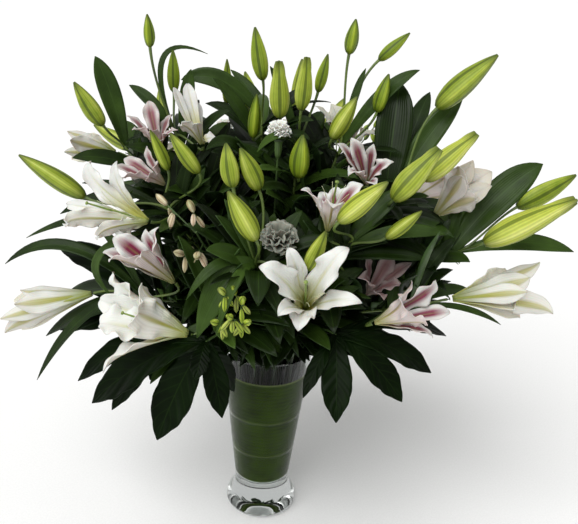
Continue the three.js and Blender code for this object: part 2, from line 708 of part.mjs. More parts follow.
// Each bloom's tips go round it in order, with an outer petal first.
const WHITE = 0xf1eee6,
  CREAM = 0xe9e2cf,
  PINK = 0xe3c3cb;
const BLOOMS = [
  {
    name: "bloom_front",
    stem: "stem_front",
    base: seen(305, 312, -125),
    tips: [
      seen(288, 248, -190),
      seen(349, 248, -195),
      seen(362, 303, -210),
      seen(298, 331, -225),
      seen(278, 316, -235),
      seen(259, 267, -215),
    ],
    wide: 35,
    curl: 0.14,
    bell: 7,
    colour: WHITE,
    stamens: 30,
  },
  {
    name: "bloom_low_left",
    stem: "stem_front_left",
    base: seen(191, 335, -175),
    tips: [
      seen(142, 283, -190),
      seen(114, 272, -150),
      seen(100, 300, -150),
      seen(100, 324, -175),
      seen(103, 373, -215),
      seen(138, 313, -235),
    ],
    wide: 54,
    curl: 0.02,
    bell: 24,
    cup: 0.32,
    colour: WHITE,
    stamens: 24,
  },
  {
    name: "bloom_left",
    stem: "stem_left",
    from: 0.9,
    base: seen(151, 222, -90),
    tips: [
      seen(117, 161, -75),
      seen(91, 161, -85),
      seen(68, 206, -60),
      seen(66, 227, -150),
      seen(97, 240, -150),
      seen(118, 236, -120),
    ],
    wide: 32,
    curl: 0.1,
    bell: 12,
    colour: WHITE,
    stamens: 24,
  },
  {
    name: "bloom_low_left_pink",
    stem: "stem_low_left",
    from: 0.9,
    base: seen(176, 284, -120),
    tips: [
      seen(146, 229, -110),
      seen(114, 237, -120),
      seen(103, 253, -150),
      seen(109, 262, -180),
      seen(141, 257, -200),
      seen(159, 227, -135),
    ],
    wide: 34,
    curl: 0.06,
    bell: 12,
    colour: PINK,
  },
  {
    name: "bloom_left_high_pink",
    stem: "stem_left",
    from: 0.85,
    base: seen(167, 186, -30),
    tips: [
      seen(147, 146, -15),
      seen(124, 159, -15),
      seen(115, 166, -45),
      seen(122, 180, -75),
      seen(148, 178, -85),
      seen(161, 157, -50),
    ],
    wide: 28,
    curl: 0.02,
    colour: PINK,
  },
  {
    name: "bloom_low_right_pink",
    stem: "stem_low_right",
    from: 0.75,
    base: seen(372, 324, -150),
    tips: [
      seen(411, 280, -150),
      seen(435, 280, -125),
      seen(450, 313, -135),
      seen(427, 326, -180),
      seen(433, 338, -160),
      seen(399, 298, -200),
    ],
    wide: 33,
    curl: 0.06,
    bell: 12,
    colour: PINK,
  },
  {
    name: "bloom_far_right",
    stem: "stem_low_right",
    from: 1,
    base: seen(450, 299, -50),
    tips: [
      seen(540, 262, -30),
      seen(530, 277, -60),
      seen(528, 292, -80),
      seen(553, 314, -60),
      seen(520, 318, -30),
      seen(505, 268, -10),
    ],
    wide: 34,
    curl: -0.05,
    colour: CREAM,
  },
  {
    name: "bloom_right_cream",
    stem: "stem_right",
    from: 0.85,
    base: seen(434, 216, 0),
    tips: [
      seen(473, 160, 0),
      seen(492, 172, 10),
      seen(492, 186, -10),
      seen(478, 200, -30),
      seen(462, 176, -50),
      seen(458, 166, -20),
    ],
    wide: 34,
    curl: -0.06,
    colour: CREAM,
  },
  {
    name: "bloom_centre_pink",
    stem: "stem_centre_right",
    from: 0.9,
    base: seen(327, 233, -140),
    tips: [
      seen(301, 190, -175),
      seen(322, 192, -115),
      seen(337, 187, -120),
      seen(363, 185, -140),
      seen(352, 204, -190),
      seen(333, 208, -205),
    ],
    wide: 28,
    curl: 0.08,
    colour: PINK,
    stamens: 20,
  },
  {
    name: "bloom_upper_right_pink",
    stem: "stem_top_right",
    from: 0.85,
    base: seen(367, 186, -30),
    tips: [
      seen(337, 144, -85),
      seen(351, 138, -65),
      seen(374, 144, -55),
      seen(394, 162, -70),
      seen(377, 187, -105),
      seen(348, 176, -110),
    ],
    wide: 28,
    curl: 0.1,
    colour: PINK,
  },
  {
    name: "bloom_far_left",
    stem: "stem_low_left",
    from: 1,
    base: seen(94, 293, -10),
    tips: [
      seen(20, 290, 0),
      seen(14, 304, -30),
      seen(0, 319, -20),
      seen(5, 333, -10),
      seen(22, 330, 20),
      seen(14, 300, 30),
    ],
    wide: 30,
    curl: -0.08,
    colour: CREAM,
  },
  {
    name: "bloom_top_left",
    stem: "stem_top_left",
    from: 0.95,
    base: seen(203, 147, 0),
    tips: [
      seen(173, 88, 10),
      seen(188, 84, 35),
      seen(199, 103, 45),
      seen(217, 138, 0),
      seen(197, 124, -45),
      seen(178, 126, -30),
    ],
    wide: 24,
    curl: 0.06,
    colour: WHITE,
  },
  {
    name: "bloom_top_left_pink",
    stem: "stem_top_left",
    from: 0.9,
    base: seen(160, 152, 10),
    tips: [
      seen(126, 116, 10),
      seen(149, 101, 30),
      seen(172, 114, 30),
      seen(178, 130, 0),
      seen(152, 132, -40),
      seen(132, 130, -25),
    ],
    wide: 30,
    curl: 0.03,
    colour: PINK,
  },
  {
    name: "bloom_left_cream",
    stem: "stem_upper_left",
    from: 0.9,
    base: seen(118, 153, 50),
    tips: [
      seen(67, 131, 40),
      seen(88, 133, 60),
      seen(84, 142, 90),
      seen(72, 160, 60),
      seen(64, 152, 30),
      seen(70, 140, 10),
    ],
    wide: 26,
    curl: -0.05,
    colour: CREAM,
  },
  {
    name: "bloom_top_right_cream",
    stem: "stem_top_right",
    from: 0.9,
    base: seen(346, 158, 80),
    tips: [
      seen(315, 106, 70),
      seen(331, 104, 100),
      seen(366, 112, 90),
      seen(380, 132, 60),
      seen(356, 128, 30),
      seen(326, 122, 40),
    ],
    wide: 30,
    curl: 0,
    colour: CREAM,
  },
  {
    name: "bloom_right_inner_pink",
    stem: "stem_centre_right",
    from: 0.75,
    base: seen(366, 296, -60),
    tips: [
      seen(365, 256, -70),
      seen(392, 252, -60),
      seen(412, 263, -70),
      seen(402, 286, -90),
      seen(384, 300, -120),
      seen(358, 278, -110),
    ],
    wide: 30,
    curl: 0.04,
    colour: PINK,
  },
  {
    name: "bloom_back_left",
    stem: "stem_back_left",
    from: 0.9,
    base: at(-175, 200, 490),
    tips: mouthTips(at(-175, 200, 490), at(-230, 275, 520), 62),
    wide: 44,
    curl: 0.1,
    colour: WHITE,
  },
  {
    name: "bloom_back",
    stem: "stem_back",
    from: 0.85,
    base: at(25, 225, 530),
    tips: mouthTips(at(25, 225, 530), at(40, 315, 565), 64, 0.3),
    wide: 44,
    curl: 0.1,
    colour: WHITE,
  },
  {
    name: "bloom_back_right",
    stem: "stem_back_right",
    from: 0.9,
    base: at(215, 175, 490),
    tips: mouthTips(at(215, 175, 490), at(285, 240, 515), 60, 0.6),
    wide: 42,
    curl: 0.1,
    colour: PINK,
  },
];

// Broad leaves: lobes spread from the top of the petiole.
const PALMS = [
  {
    name: "palm_leaf_front_left",
    hub: seen(206, 342, -190),
    lobes: [
      { tip: seen(92, 403, -170), wide: 58 },
      { tip: seen(157, 440, -215), wide: 56 },
      { tip: seen(222, 418, -225), wide: 34 },
      { tip: seen(196, 380, -235), wide: 26 },
      { tip: seen(130, 352, -160), wide: 34 },
    ],
  },
  {
    name: "palm_leaf_left",
    hub: seen(178, 330, -70),
    lobes: [
      { tip: seen(78, 381, -40), wide: 42 },
      { tip: seen(60, 330, 0), wide: 44 },
      { tip: seen(112, 410, -90), wide: 40 },
      { tip: seen(80, 290, 60), wide: 36 },
      { tip: seen(150, 380, -120), wide: 34 },
    ],
  },
  {
    name: "palm_leaf_front_right",
    hub: seen(336, 335, -150),
    lobes: [
      { tip: seen(303, 398, -215), wide: 22 },
      { tip: seen(336, 423, -225), wide: 42 },
      { tip: seen(402, 402, -180), wide: 44 },
      { tip: seen(431, 373, -130), wide: 42 },
      { tip: seen(446, 336, -80), wide: 32 },
    ],
  },
  {
    name: "palm_leaf_back_right",
    hub: at(130, 110, 400),
    lobes: [
      { tip: at(275, 90, 310), wide: 44 },
      { tip: at(280, 180, 330), wide: 46 },
      { tip: at(210, 260, 330), wide: 46 },
      { tip: at(120, 260, 350), wide: 42 },
      { tip: at(190, 20, 330), wide: 36 },
    ],
  },
  {
    name: "palm_leaf_back_left",
    hub: at(-110, 120, 400),
    lobes: [
      { tip: at(-250, 80, 320), wide: 42 },
      { tip: at(-260, 190, 320), wide: 46 },
      { tip: at(-170, 270, 320), wide: 46 },
      { tip: at(-70, 270, 340), wide: 42 },
      { tip: at(-150, 0, 330), wide: 34 },
    ],
  },
  {
    name: "palm_leaf_back",
    hub: at(10, 130, 390),
    lobes: [
      { tip: at(-60, 245, 270), wide: 44 },
      { tip: at(15, 290, 260), wide: 48 },
      { tip: at(90, 240, 270), wide: 44 },
      { tip: at(-40, 200, 400), wide: 30 },
      { tip: at(60, 210, 400), wide: 30 },
    ],
  },
];

// Carnations: a full head of ruffled petals on a slim stem.
const CARNATIONS = [
  { name: "carnation_upper", centre: seen(279, 132, -20), radius: 18, colour: WHITE },
  { name: "carnation_middle", centre: seen(279, 238, -150), radius: 25, colour: 0xd9d8d2 },
  { name: "carnation_back", centre: at(-90, 200, 600), radius: 24, colour: WHITE },
];

// Sprays of small buds on thin branches.
const SPRAYS = [
  {
    name: "spray_front",
    head: seen(228, 322, -200),
    tips: [
      seen(219, 288, -225),
      seen(232, 286, -205),
      seen(228, 316, -250),
      seen(243, 297, -235),
      seen(250, 322, -240),
      seen(211, 322, -235),
    ],
    wide: 10,
    long: 20,
  },
  {
    name: "spray_left",
    head: seen(196, 232, -130),
    tips: [
      seen(188, 200, -150),
      seen(174, 252, -175),
      seen(184, 248, -160),
      seen(196, 258, -185),
      seen(156, 194, -100),
    ],
    wide: 11,
    long: 22,
  },
  {
    name: "spray_back",
    head: at(110, 170, 560),
    tips: [
      at(120, 215, 640),
      at(150, 220, 620),
      at(170, 240, 590),
      at(95, 240, 620),
      at(170, 190, 640),
    ],
    wide: 11,
    long: 22,
  },
];

// A head's own sizes are shares of its radius, and its petals turn by the golden angle from one to the next.
const CARNATION = {
  petals: 8,
  turn: 137,
  lowest: 1.75,
  petalWide: 0.95,
  petalCup: 0.2,
  sunk: 0.8,
  core: 0.55,
  calyx: 24,
  calyxRadius: 5.5,
};
const HEART = at(0, 0, VASE.height * 0.8); // where the bouquet's stems seem to spring from

function outward(place) {
  return place.clone().sub(HEART).normalize();
}

function carnationHead({ centre, radius }) {
  const axis = outward(centre);
  const base = centre.clone().addScaledVector(axis, -radius * CARNATION.sunk);
  const core = loft([
    [base.clone().addScaledVector(axis, GAP)],
    ring(base.clone().addScaledVector(axis, radius * 0.35), axis, radius * CARNATION.core, 6),
    ring(base.clone().addScaledVector(axis, radius * 0.95), axis, radius * CARNATION.core, 6),
    [base.clone().addScaledVector(axis, radius * 1.25)],
  ]);
  const petals = Array.from({ length: CARNATION.petals }, (_, j) => {
    const polar = CARNATION.lowest * Math.sqrt((j + 0.5) / CARNATION.petals);
    const level = ring(at(0, 0, 0), axis, Math.sin(polar), 360)[(j * CARNATION.turn) % 360];
    const direction = level.addScaledVector(axis, Math.cos(polar));
    const start = base.clone().addScaledVector(axis, radius * 0.6);
    const tip = centre.clone().addScaledVector(direction, radius);
    const across = direction.clone().cross(axis).addScaledVector(axis, 0.02).normalize();
    const curve = bezier(start, mix(start, tip, 0.3), mix(start, tip, 0.7).addScaledVector(axis, 2), tip);
    const half = (radius * CARNATION.petalWide) / 2;
    return blade(
      curve,
      [
        [0.6, half * 0.7],
        [0.93, half],
      ],
      { thick: PETAL_THICK, side: () => across.clone(), cup: CARNATION.petalCup },
    );
  });
  return fused([core, ...petals]);
}

function carnationCalyx({ centre, radius }) {
  const axis = outward(centre);
  const top = centre.clone().addScaledVector(axis, -radius * CARNATION.sunk);
  const bottom = top.clone().addScaledVector(axis, -CARNATION.calyx);
  return rod(new THREE.LineCurve3(bottom, top), 1, 6, STEM.slim, CARNATION.calyxRadius);
}

const SPRAY = { branch: 1.1, low: 0.55, rise: 0.43 };

function sprig(stem, tip, spray, from) {
  const start = stem.upper.getPoint(from);
  const axis = tip.clone().sub(start).normalize();
  const base = tip.clone().addScaledVector(axis, -spray.long);
  return loft([
    [start],
    ring(mix(start, base, 0.05), axis, SPRAY.branch, 4),
    ring(base, axis, SPRAY.branch, 4),
    ring(mix(base, tip, 0.35), axis, spray.wide / 2, 4),
    ring(mix(base, tip, 0.78), axis, spray.wide * 0.38, 4),
    [tip],
  ]);
}

const HUB = { radius: 7, thick: 3 };

// Palmate lobes are widest past their middle, joined where they leave the hub.
const LOBE_SECTIONS = [
  [0.3, 0.6],
  [0.7, 1],
];

function hubSolid(hub) {
  const up = facing(hub, LOBE.face);
  return loft([
    [hub.clone().addScaledVector(up, -HUB.thick)],
    ring(hub, up, HUB.radius, 6),
    [hub.clone().addScaledVector(up, HUB.thick)],
  ]);
}

function lobeSolid(hub, tip, wide) {
  const span = hub.distanceTo(tip);
  const curve = bezier(
    hub,
    mix(hub, tip, 0.3).addScaledVector(UP, span * LOBE.near),
    mix(hub, tip, 0.72).addScaledVector(UP, span * LOBE.far),
    tip,
  );
  const up = facing(tip, LOBE.face);
  return blade(
    curve,
    LOBE_SECTIONS.map(([t, share]) => [t, (wide / 2) * share]),
    { thick: LEAF.thick, side: (along) => up.clone().cross(along), cup: LOBE.cup },
  );
}

// The vase
keep("vase_glass", vaseGlass());
for (let i = 0; i < LINER.bands; i++) keep(`liner_leaf_${i + 1}`, linerBand(i));

// The stems, stood in the vase together
const stems = new Map();
for (const { name, head } of LILY_STEMS) stems.set(name, { name, head });
for (const { name, hub } of PALMS) stems.set(name, { name, head: hub, slim: true, arch: LOBE.arch });
for (const { name, centre, radius } of CARNATIONS) {
  const down = -radius * CARNATION.sunk - CARNATION.calyx;
  const head = centre.clone().addScaledVector(outward(centre), down);
  stems.set(name, { name: `${name}_stem`, head, slim: true });
}
for (const { name, head } of SPRAYS) stems.set(name, { name, head, slim: true });
dealStems([...stems.values()]);
const holes = [];
for (const stem of stems.values()) {
  const shape = stemSolid(stem);
  if (!isClear(stem.name, shape)) crowded.push(`${stem.name} itself`);
  keep(stem.name, shape);
  holes.push(stemSolid(stem, STEM.hole));
}
keep("water", waterBody(holes));

// Blooms, then their petals one by one
for (const bloom of BLOOMS) {
  const stem = stems.get(bloom.stem);
  const shift = settle(bloom.name, REACH.bloom, (s) => {
    const { base, axis } = bloomAxis(bloom, s);
    const length = base.distanceTo(moved(bloom.tips[0], s));
    const parts = [
      [stem.name, pedicel(stem, bloom.from ?? 1, base, axis)],
      [bloom.name, throatSolid(base, axis)],
    ];
    if (bloom.stamens)
      for (let turn = 0; turn <= STAMEN.count; turn++)
        parts.push([bloom.name, stamenSolid(base, axis, length, turn, bloom.stamens)]);
    return parts;
  });
  const { base, axis } = bloomAxis(bloom, shift);
  const claw = base.clone().addScaledVector(axis, THROAT.root);
  bloom.tips.forEach((tip, j) =>
    settle(`${bloom.name} petal ${j + 1}`, REACH.petal, (s) => [
      [bloom.name, petalSolid(bloom, claw, axis, moved(tip, shift + s), j % 2 === 1)],
    ]),
  );
}

// Buds on their pedicels
for (const { name, buds = [] } of LILY_STEMS) {
  const stem = stems.get(name);
  buds.forEach((bud, j) =>
    settle(`${name} bud ${j + 1}`, REACH.bud, (s) => {
      const base = moved(bud.base, s),
        tip = moved(bud.tip, s);
      const axis = tip.clone().sub(base).normalize();
      return [
        [name, pedicel(stem, bud.from, base.clone().addScaledVector(axis, 2), axis)],
        [name, budSolid(base, tip, bud.wide)],
      ];
    }),
  );
}

for (const carnation of CARNATIONS) {
  const stem = stems.get(carnation.name);
  keep(stem.name, carnationCalyx(carnation));
  settle(carnation.name, 0, () => [[carnation.name, carnationHead(carnation)]]);
}

for (const palm of PALMS) {
  const stem = stems.get(palm.name);
  keep(palm.name, hubSolid(palm.hub));
  palm.lobes.forEach(({ tip, wide }, j) =>
    settle(`${palm.name} lobe ${j + 1}`, REACH.lobe, (s) => [
      [palm.name, lobeSolid(stem.head, moved(tip, s), wide)],
    ]),
  );
}

for (const spray of SPRAYS) {
  const stem = stems.get(spray.name);
  spray.tips.forEach((tip, j) => {
    const from = SPRAY.low + (SPRAY.rise * (j + 1)) / spray.tips.length;
    settle(`${spray.name} sprig ${j + 1}`, REACH.sprig, (s) => [
      [spray.name, sprig(stem, moved(tip, s), spray, from)],
    ]);
  });
}

for (const { name, leaves } of LILY_STEMS) {
  const stem = stems.get(name);
  leaves.forEach((leaf, j) =>
    settle(`${name} leaf ${j + 1}`, REACH.leaf, (s) => [
      [name, leafSolid(stem.upper.getPoint(leaf.from), moved(leaf.tip, s), leaf)],
    ]),
  );
}

if (crowded.length) throw new Error("no clear place for " + crowded.join(", "));

// Finishes, by node
const GREEN = { color: 0x4f7030, roughness: 0.5 };
const finishes = new Map([
  ["vase_glass", { color: 0xf2f6f5, roughness: 0.04, transparent: true, opacity: 0.35 }],
  ["water", { color: 0xe6eeea, roughness: 0.02, transparent: true, opacity: 0.3 }],
]);
for (let i = 1; i <= LINER.bands; i++)
  finishes.set(`liner_leaf_${i}`, { color: 0x435a24, roughness: 0.45 });
for (const { name } of PALMS) finishes.set(name, { color: 0x1c2f14, roughness: 0.3 });
for (const { name } of SPRAYS) finishes.set(name, { color: 0x9fae4a, roughness: 0.55 });
for (const { name, colour } of [...BLOOMS, ...CARNATIONS])
  finishes.set(name, { color: colour, roughness: 0.6 });

for (const name of new Set(placed.map(({ node }) => node))) {
  const whole = fused(placed.filter(({ node }) => node === name).map(({ shape }) => shape));
  addNode(name, whole, finishes.get(name) ?? GREEN);
}

export default root;
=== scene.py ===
"""Dresses a vase of lilies.

A footed glass vase, lined with rolled leaves and filled with water, holds seventeen leafy lily stems with
buds and open blooms, broad palmate leaves, three carnations and three sprays of small buds. Shapes are
worked out in millimetres and each finished mesh is scaled to metres, with its place in its mesh.
"""
import logging
import random
from collections.abc import Callable, Sequence
from dataclasses import KW_ONLY, dataclass, field
from enum import Enum
from functools import cache, partial
from math import atan2, copysign, cos, exp, hypot, pi, radians, sin, sqrt, tau

import bmesh
import bpy
from bmesh.types import BMesh, BMLayerItem
from bpy.types import Material, Mesh, NodeSocket, NodeTree
from mathutils import Matrix, Vector
from mathutils.bvhtree import BVHTree
from mathutils.kdtree import KDTree


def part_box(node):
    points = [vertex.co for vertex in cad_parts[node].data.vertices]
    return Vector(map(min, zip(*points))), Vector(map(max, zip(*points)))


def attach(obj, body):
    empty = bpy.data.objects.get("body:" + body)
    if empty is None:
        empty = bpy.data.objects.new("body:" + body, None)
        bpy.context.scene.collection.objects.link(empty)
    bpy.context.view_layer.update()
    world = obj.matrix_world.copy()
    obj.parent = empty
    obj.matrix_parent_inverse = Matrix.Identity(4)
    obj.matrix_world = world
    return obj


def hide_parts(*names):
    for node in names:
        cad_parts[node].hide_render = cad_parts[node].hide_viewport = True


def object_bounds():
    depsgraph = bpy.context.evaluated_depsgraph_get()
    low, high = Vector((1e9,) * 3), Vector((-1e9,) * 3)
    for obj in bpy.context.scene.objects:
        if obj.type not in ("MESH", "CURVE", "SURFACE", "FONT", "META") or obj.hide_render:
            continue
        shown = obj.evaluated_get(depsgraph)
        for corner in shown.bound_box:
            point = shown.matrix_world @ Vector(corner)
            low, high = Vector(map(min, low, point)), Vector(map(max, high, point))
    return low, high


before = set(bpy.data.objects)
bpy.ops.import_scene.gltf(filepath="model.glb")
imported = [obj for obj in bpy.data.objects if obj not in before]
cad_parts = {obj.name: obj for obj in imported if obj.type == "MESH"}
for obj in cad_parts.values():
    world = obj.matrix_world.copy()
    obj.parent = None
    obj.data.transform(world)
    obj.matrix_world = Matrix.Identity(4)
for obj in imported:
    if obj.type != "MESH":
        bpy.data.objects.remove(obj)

CAD_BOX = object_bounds()
BODY = "root"
MM = 0.001
UP = Vector((0, 0, 1))
ACROSS = Vector((1, 0.2, 0.1))  # a direction that no stem runs along
SHIFT_STEP = 6.0  # how far at a time a crowded piece was bent along the line of sight, in millimetres
LOG = logging.getLogger("lilies")

Pair = tuple[float, float]
Outline = tuple[Pair, ...]
Place = Callable[[Vector], Vector]


@dataclass(frozen=True)
class Eye:
    """Where the bouquet is looked at from, and the picture that is seen from there."""

    x: float = 27
    y: float = -1050
    z: float = 850
    pitch: float = radians(21.2)
    roll: float = radians(3.2)
    focus: float = 732
    width: int = 578
    height: int = 524
    sensor: float = 36

    @property
    def place(self) -> Vector:
        """The eye itself."""
        return Vector((self.x, self.y, self.z))

    def seen(self, x: float, y: float, depth: float) -> Vector:
        """Finds a place by where it is seen.

        Args:
            x: The column of the picture, in pixels.
            y: The row of the picture, in pixels.
            depth: How far the place lies behind the vase's middle.

        Returns:
            The place in the object's own frame.
        """
        u, v = x - self.width / 2, self.height / 2 - y
        across = (u * cos(self.roll) - v * sin(self.roll)) / self.focus
        rise = (u * sin(self.roll) + v * cos(self.roll)) / self.focus
        level, fall = cos(self.pitch), sin(self.pitch)
        ray = Vector((across, level + rise * fall, rise * level - fall))
        return self.place + ray * ((depth - self.y) / ray.y)

    def pixel(self, place: Vector) -> Vector:
        """Finds where in the picture a place is seen.

        Args:
            place: A place in the object's own frame.

        Returns:
            The column and the row, in pixels.
        """
        rel = place - self.place
        level, fall = cos(self.pitch), sin(self.pitch)
        ahead = rel.y * level - rel.z * fall
        rise = (rel.y * fall + rel.z * level) / ahead * self.focus
        across = rel.x / ahead * self.focus
        turned = Matrix.Rotation(self.roll, 2) @ Vector((across, -rise))
        return Vector((turned.x + self.width / 2, turned.y + self.height / 2))

    def moved(self, place: Vector, shift: float) -> Vector:
        """A place moved along the line of sight, so that it looks the same from the eye."""
        return place + (place - self.place).normalized() * shift

    def facing(self, place: Vector, share: float) -> Vector:
        """A direction between straight up, at share 0, and towards the eye, at share 1."""
        to_eye = (self.place - place).normalized()
        return (UP * (1 - share) + to_eye * share).normalized()

    def camera(self) -> None:
        """Makes the camera that stands at the eye."""
        data = bpy.data.cameras.new("camera")
        data.sensor_fit = "HORIZONTAL"
        data.sensor_width = self.sensor
        data.lens = self.focus / self.width * self.sensor
        camera = linked("camera", data)
        tilt = Matrix.Rotation(pi / 2 - self.pitch, 4, "X") @ Matrix.Rotation(self.roll, 4, "Z")
        camera.matrix_world = Matrix.Translation(self.place * MM) @ tilt
        bpy.context.scene.camera = camera


EYE = Eye()
seen = EYE.seen
moved = EYE.moved


def linked(name: str, data: bpy.types.ID) -> bpy.types.Object:
    """Sets an object of some data in the scene.

    Args:
        name: The object's name.
        data: Its mesh, camera or light.

    Returns:
        The object.
    """
    made = bpy.data.objects.new(name, data)
    bpy.context.scene.collection.objects.link(made)
    return made


def at(x: float, y: float, z: float) -> Vector:
    """A place by its own coordinates."""
    return Vector((x, y, z))


def mix(a: Vector, b: Vector, share: float) -> Vector:
    """The place that lies a share of the way from a to b."""
    return a.lerp(b, share)


def smooth(stations: Sequence[Pair], t: float) -> float:
    """Reads a smooth curve through a few stations.

    Args:
        stations: Pairs of a place along the curve and its value there, in order.
        t: The place to read.

    Returns:
        The value at t, held at the ends.
    """
    if t <= stations[0][0]:
        return stations[0][1]
    for i in range(len(stations) - 1):
        (t0, a), (t1, b) = stations[i], stations[i + 1]
        if t <= t1:
            before, after = stations[max(i - 1, 0)], stations[min(i + 2, len(stations) - 1)]
            slope_a = (b - before[1]) / (t1 - before[0]) * (t1 - t0)
            slope_b = (after[1] - a) / (after[0] - t0) * (t1 - t0)
            s = (t - t0) / (t1 - t0)
            hermite = (2 * s**3 - 3 * s**2 + 1) * a + (3 * s**2 - 2 * s**3) * b
            return hermite + (s**3 - 2 * s**2 + s) * slope_a + (s**3 - s**2) * slope_b
    return stations[-1][1]


def basis(along: Vector) -> tuple[Vector, Vector]:
    """Two directions square to a third, chosen the same way everywhere."""
    first = ACROSS.cross(along).normalized()
    return first, along.cross(first).normalized()


def ring(centre: Vector, along: Vector, radius: float, count: int) -> list[Vector]:
    """Places a number of points evenly round a centre, square to a direction."""
    first, second = basis(along)
    turns = [tau * j / count for j in range(count)]
    return [centre + first * (radius * cos(a)) + second * (radius * sin(a)) for a in turns]


@dataclass(frozen=True)
class Bend:
    """A smooth line from one place to another, drawn towards two others on its way."""

    a: Vector
    b: Vector
    c: Vector
    d: Vector

    def point(self, t: float) -> Vector:
        """The place a share t of the way along."""
        s = 1 - t
        return self.a * s**3 + self.b * (3 * s * s * t) + self.c * (3 * s * t * t) + self.d * t**3

    def tangent(self, t: float) -> Vector:
        """The direction in which the line runs at t."""
        s = 1 - t
        first, middle, last = self.b - self.a, self.c - self.b, self.d - self.c
        return (first * (s * s) + middle * (2 * s * t) + last * (t * t)).normalized()


class Kind(Enum):
    """What sort of flower a bloom is."""

    WHITE = "white"
    CREAM = "cream"
    PINK = "pink"


@dataclass(frozen=True)
class Bud:
    """A closed flower on its own short stalk: how ripe runs from green, 0, to cream, 1.

    The stalk leaves its stem at start, from 0 at the vase's mouth to 1 at the stem's head, as a leaf does.
    """

    tip: Vector
    base: Vector
    wide: float
    start: float = 1
    ripe: float = 0.35
    parted: bool = False


@dataclass(frozen=True)
class Leaf:
    """A lily leaf that the picture shows: it bows upwards and leans to the left on its way.

    It faces the eye by a share. An extra one isn't on the solid stem.
    """

    tip: Vector
    wide: float
    start: float = 1
    bow: float = 0.12
    face: float = 0.55
    # tone sets how far the leaf is painted from shade towards light
    tone: float = 0.3
    lean: float = 0
    extra: bool = False


@dataclass(frozen=True)
class Lobe:
    """One finger of a broad leaf. An extra one isn't on the solid leaf."""

    tip: Vector
    wide: float
    extra: bool = False


@dataclass
class Stem:
    """A stem that stands in the vase and bends to its head."""

    name: str
    head: Vector
    buds: tuple[Bud, ...] = ()
    leaves: tuple[Leaf, ...] = ()
    slim: bool = False
    arch: float = 0.06
    fillers: int = 78
    foot: Vector = field(default_factory=Vector)
    mouth: Vector = field(default_factory=Vector)
    upper: Bend | None = None


@dataclass(frozen=True)
class Bloom:
    """An open or half-open lily: its tips go round it in order, with an outer petal first.

    Its petals stand bell from its axis low down, curl back at their ends, are turned flat to the eye by a
    share, and are drawn fuller than the solid's by a factor. Its stamens end so far from its axis as their
    number says, and at 0 it shows none.
    """

    name: str
    stem: str
    kind: Kind
    base: Vector
    tips: tuple[Vector, ...]
    wide: float
    curl: float
    start: float = 1
    bell: float = 9
    cup: float = 0.22
    stamens: float = 0
    flat: float = 0
    full: float = 1
    ruffle: float = 1
    # tone: how far the petals turn to a fading flower's mauve, which is partly painted shade
    tone: float = 0


@dataclass(frozen=True)
class Palm:
    """A broad leaf with lobes spread from the top of its stalk."""

    name: str
    hub: Vector
    lobes: tuple[Lobe, ...]


@dataclass(frozen=True)
class Carnation:
    """A full ruffled head on a slim stem."""

    name: str
    centre: Vector
    radius: float
    # tone: how far the head is painted grey, as painted shade
    tone: float = 0

    @property
    def foot(self) -> Vector:
        """Where its calyx stands on the stem."""
        return self.centre - outward(self.centre) * (self.radius * 0.8 + STEM.calyx)


@dataclass(frozen=True)
class Spray:
    """Small buds on thin branches: blush runs from green, 0, to pinkish cream, 1."""

    name: str
    head: Vector
    tips: tuple[Vector, ...]
    wide: float
    long: float
    blush: float = 0


def mouth_tips(base: Vector, middle: Vector, spread: float, turn: float = 0) -> tuple[Vector, ...]:
    """Places six tips evenly round the mouth of a bloom.

    Args:
        base: Where the bloom is joined to its stalk.
        middle: The middle of its mouth.
        spread: How far the tips lie from that middle.
        turn: How far each tip is moved towards the next.

    Returns:
        The tips, in order.
    """
    tips = ring(middle, (middle - base).normalized(), spread, 6)
    return tuple(mix(tip, tips[(j + 1) % 6], turn) for j, tip in enumerate(tips))


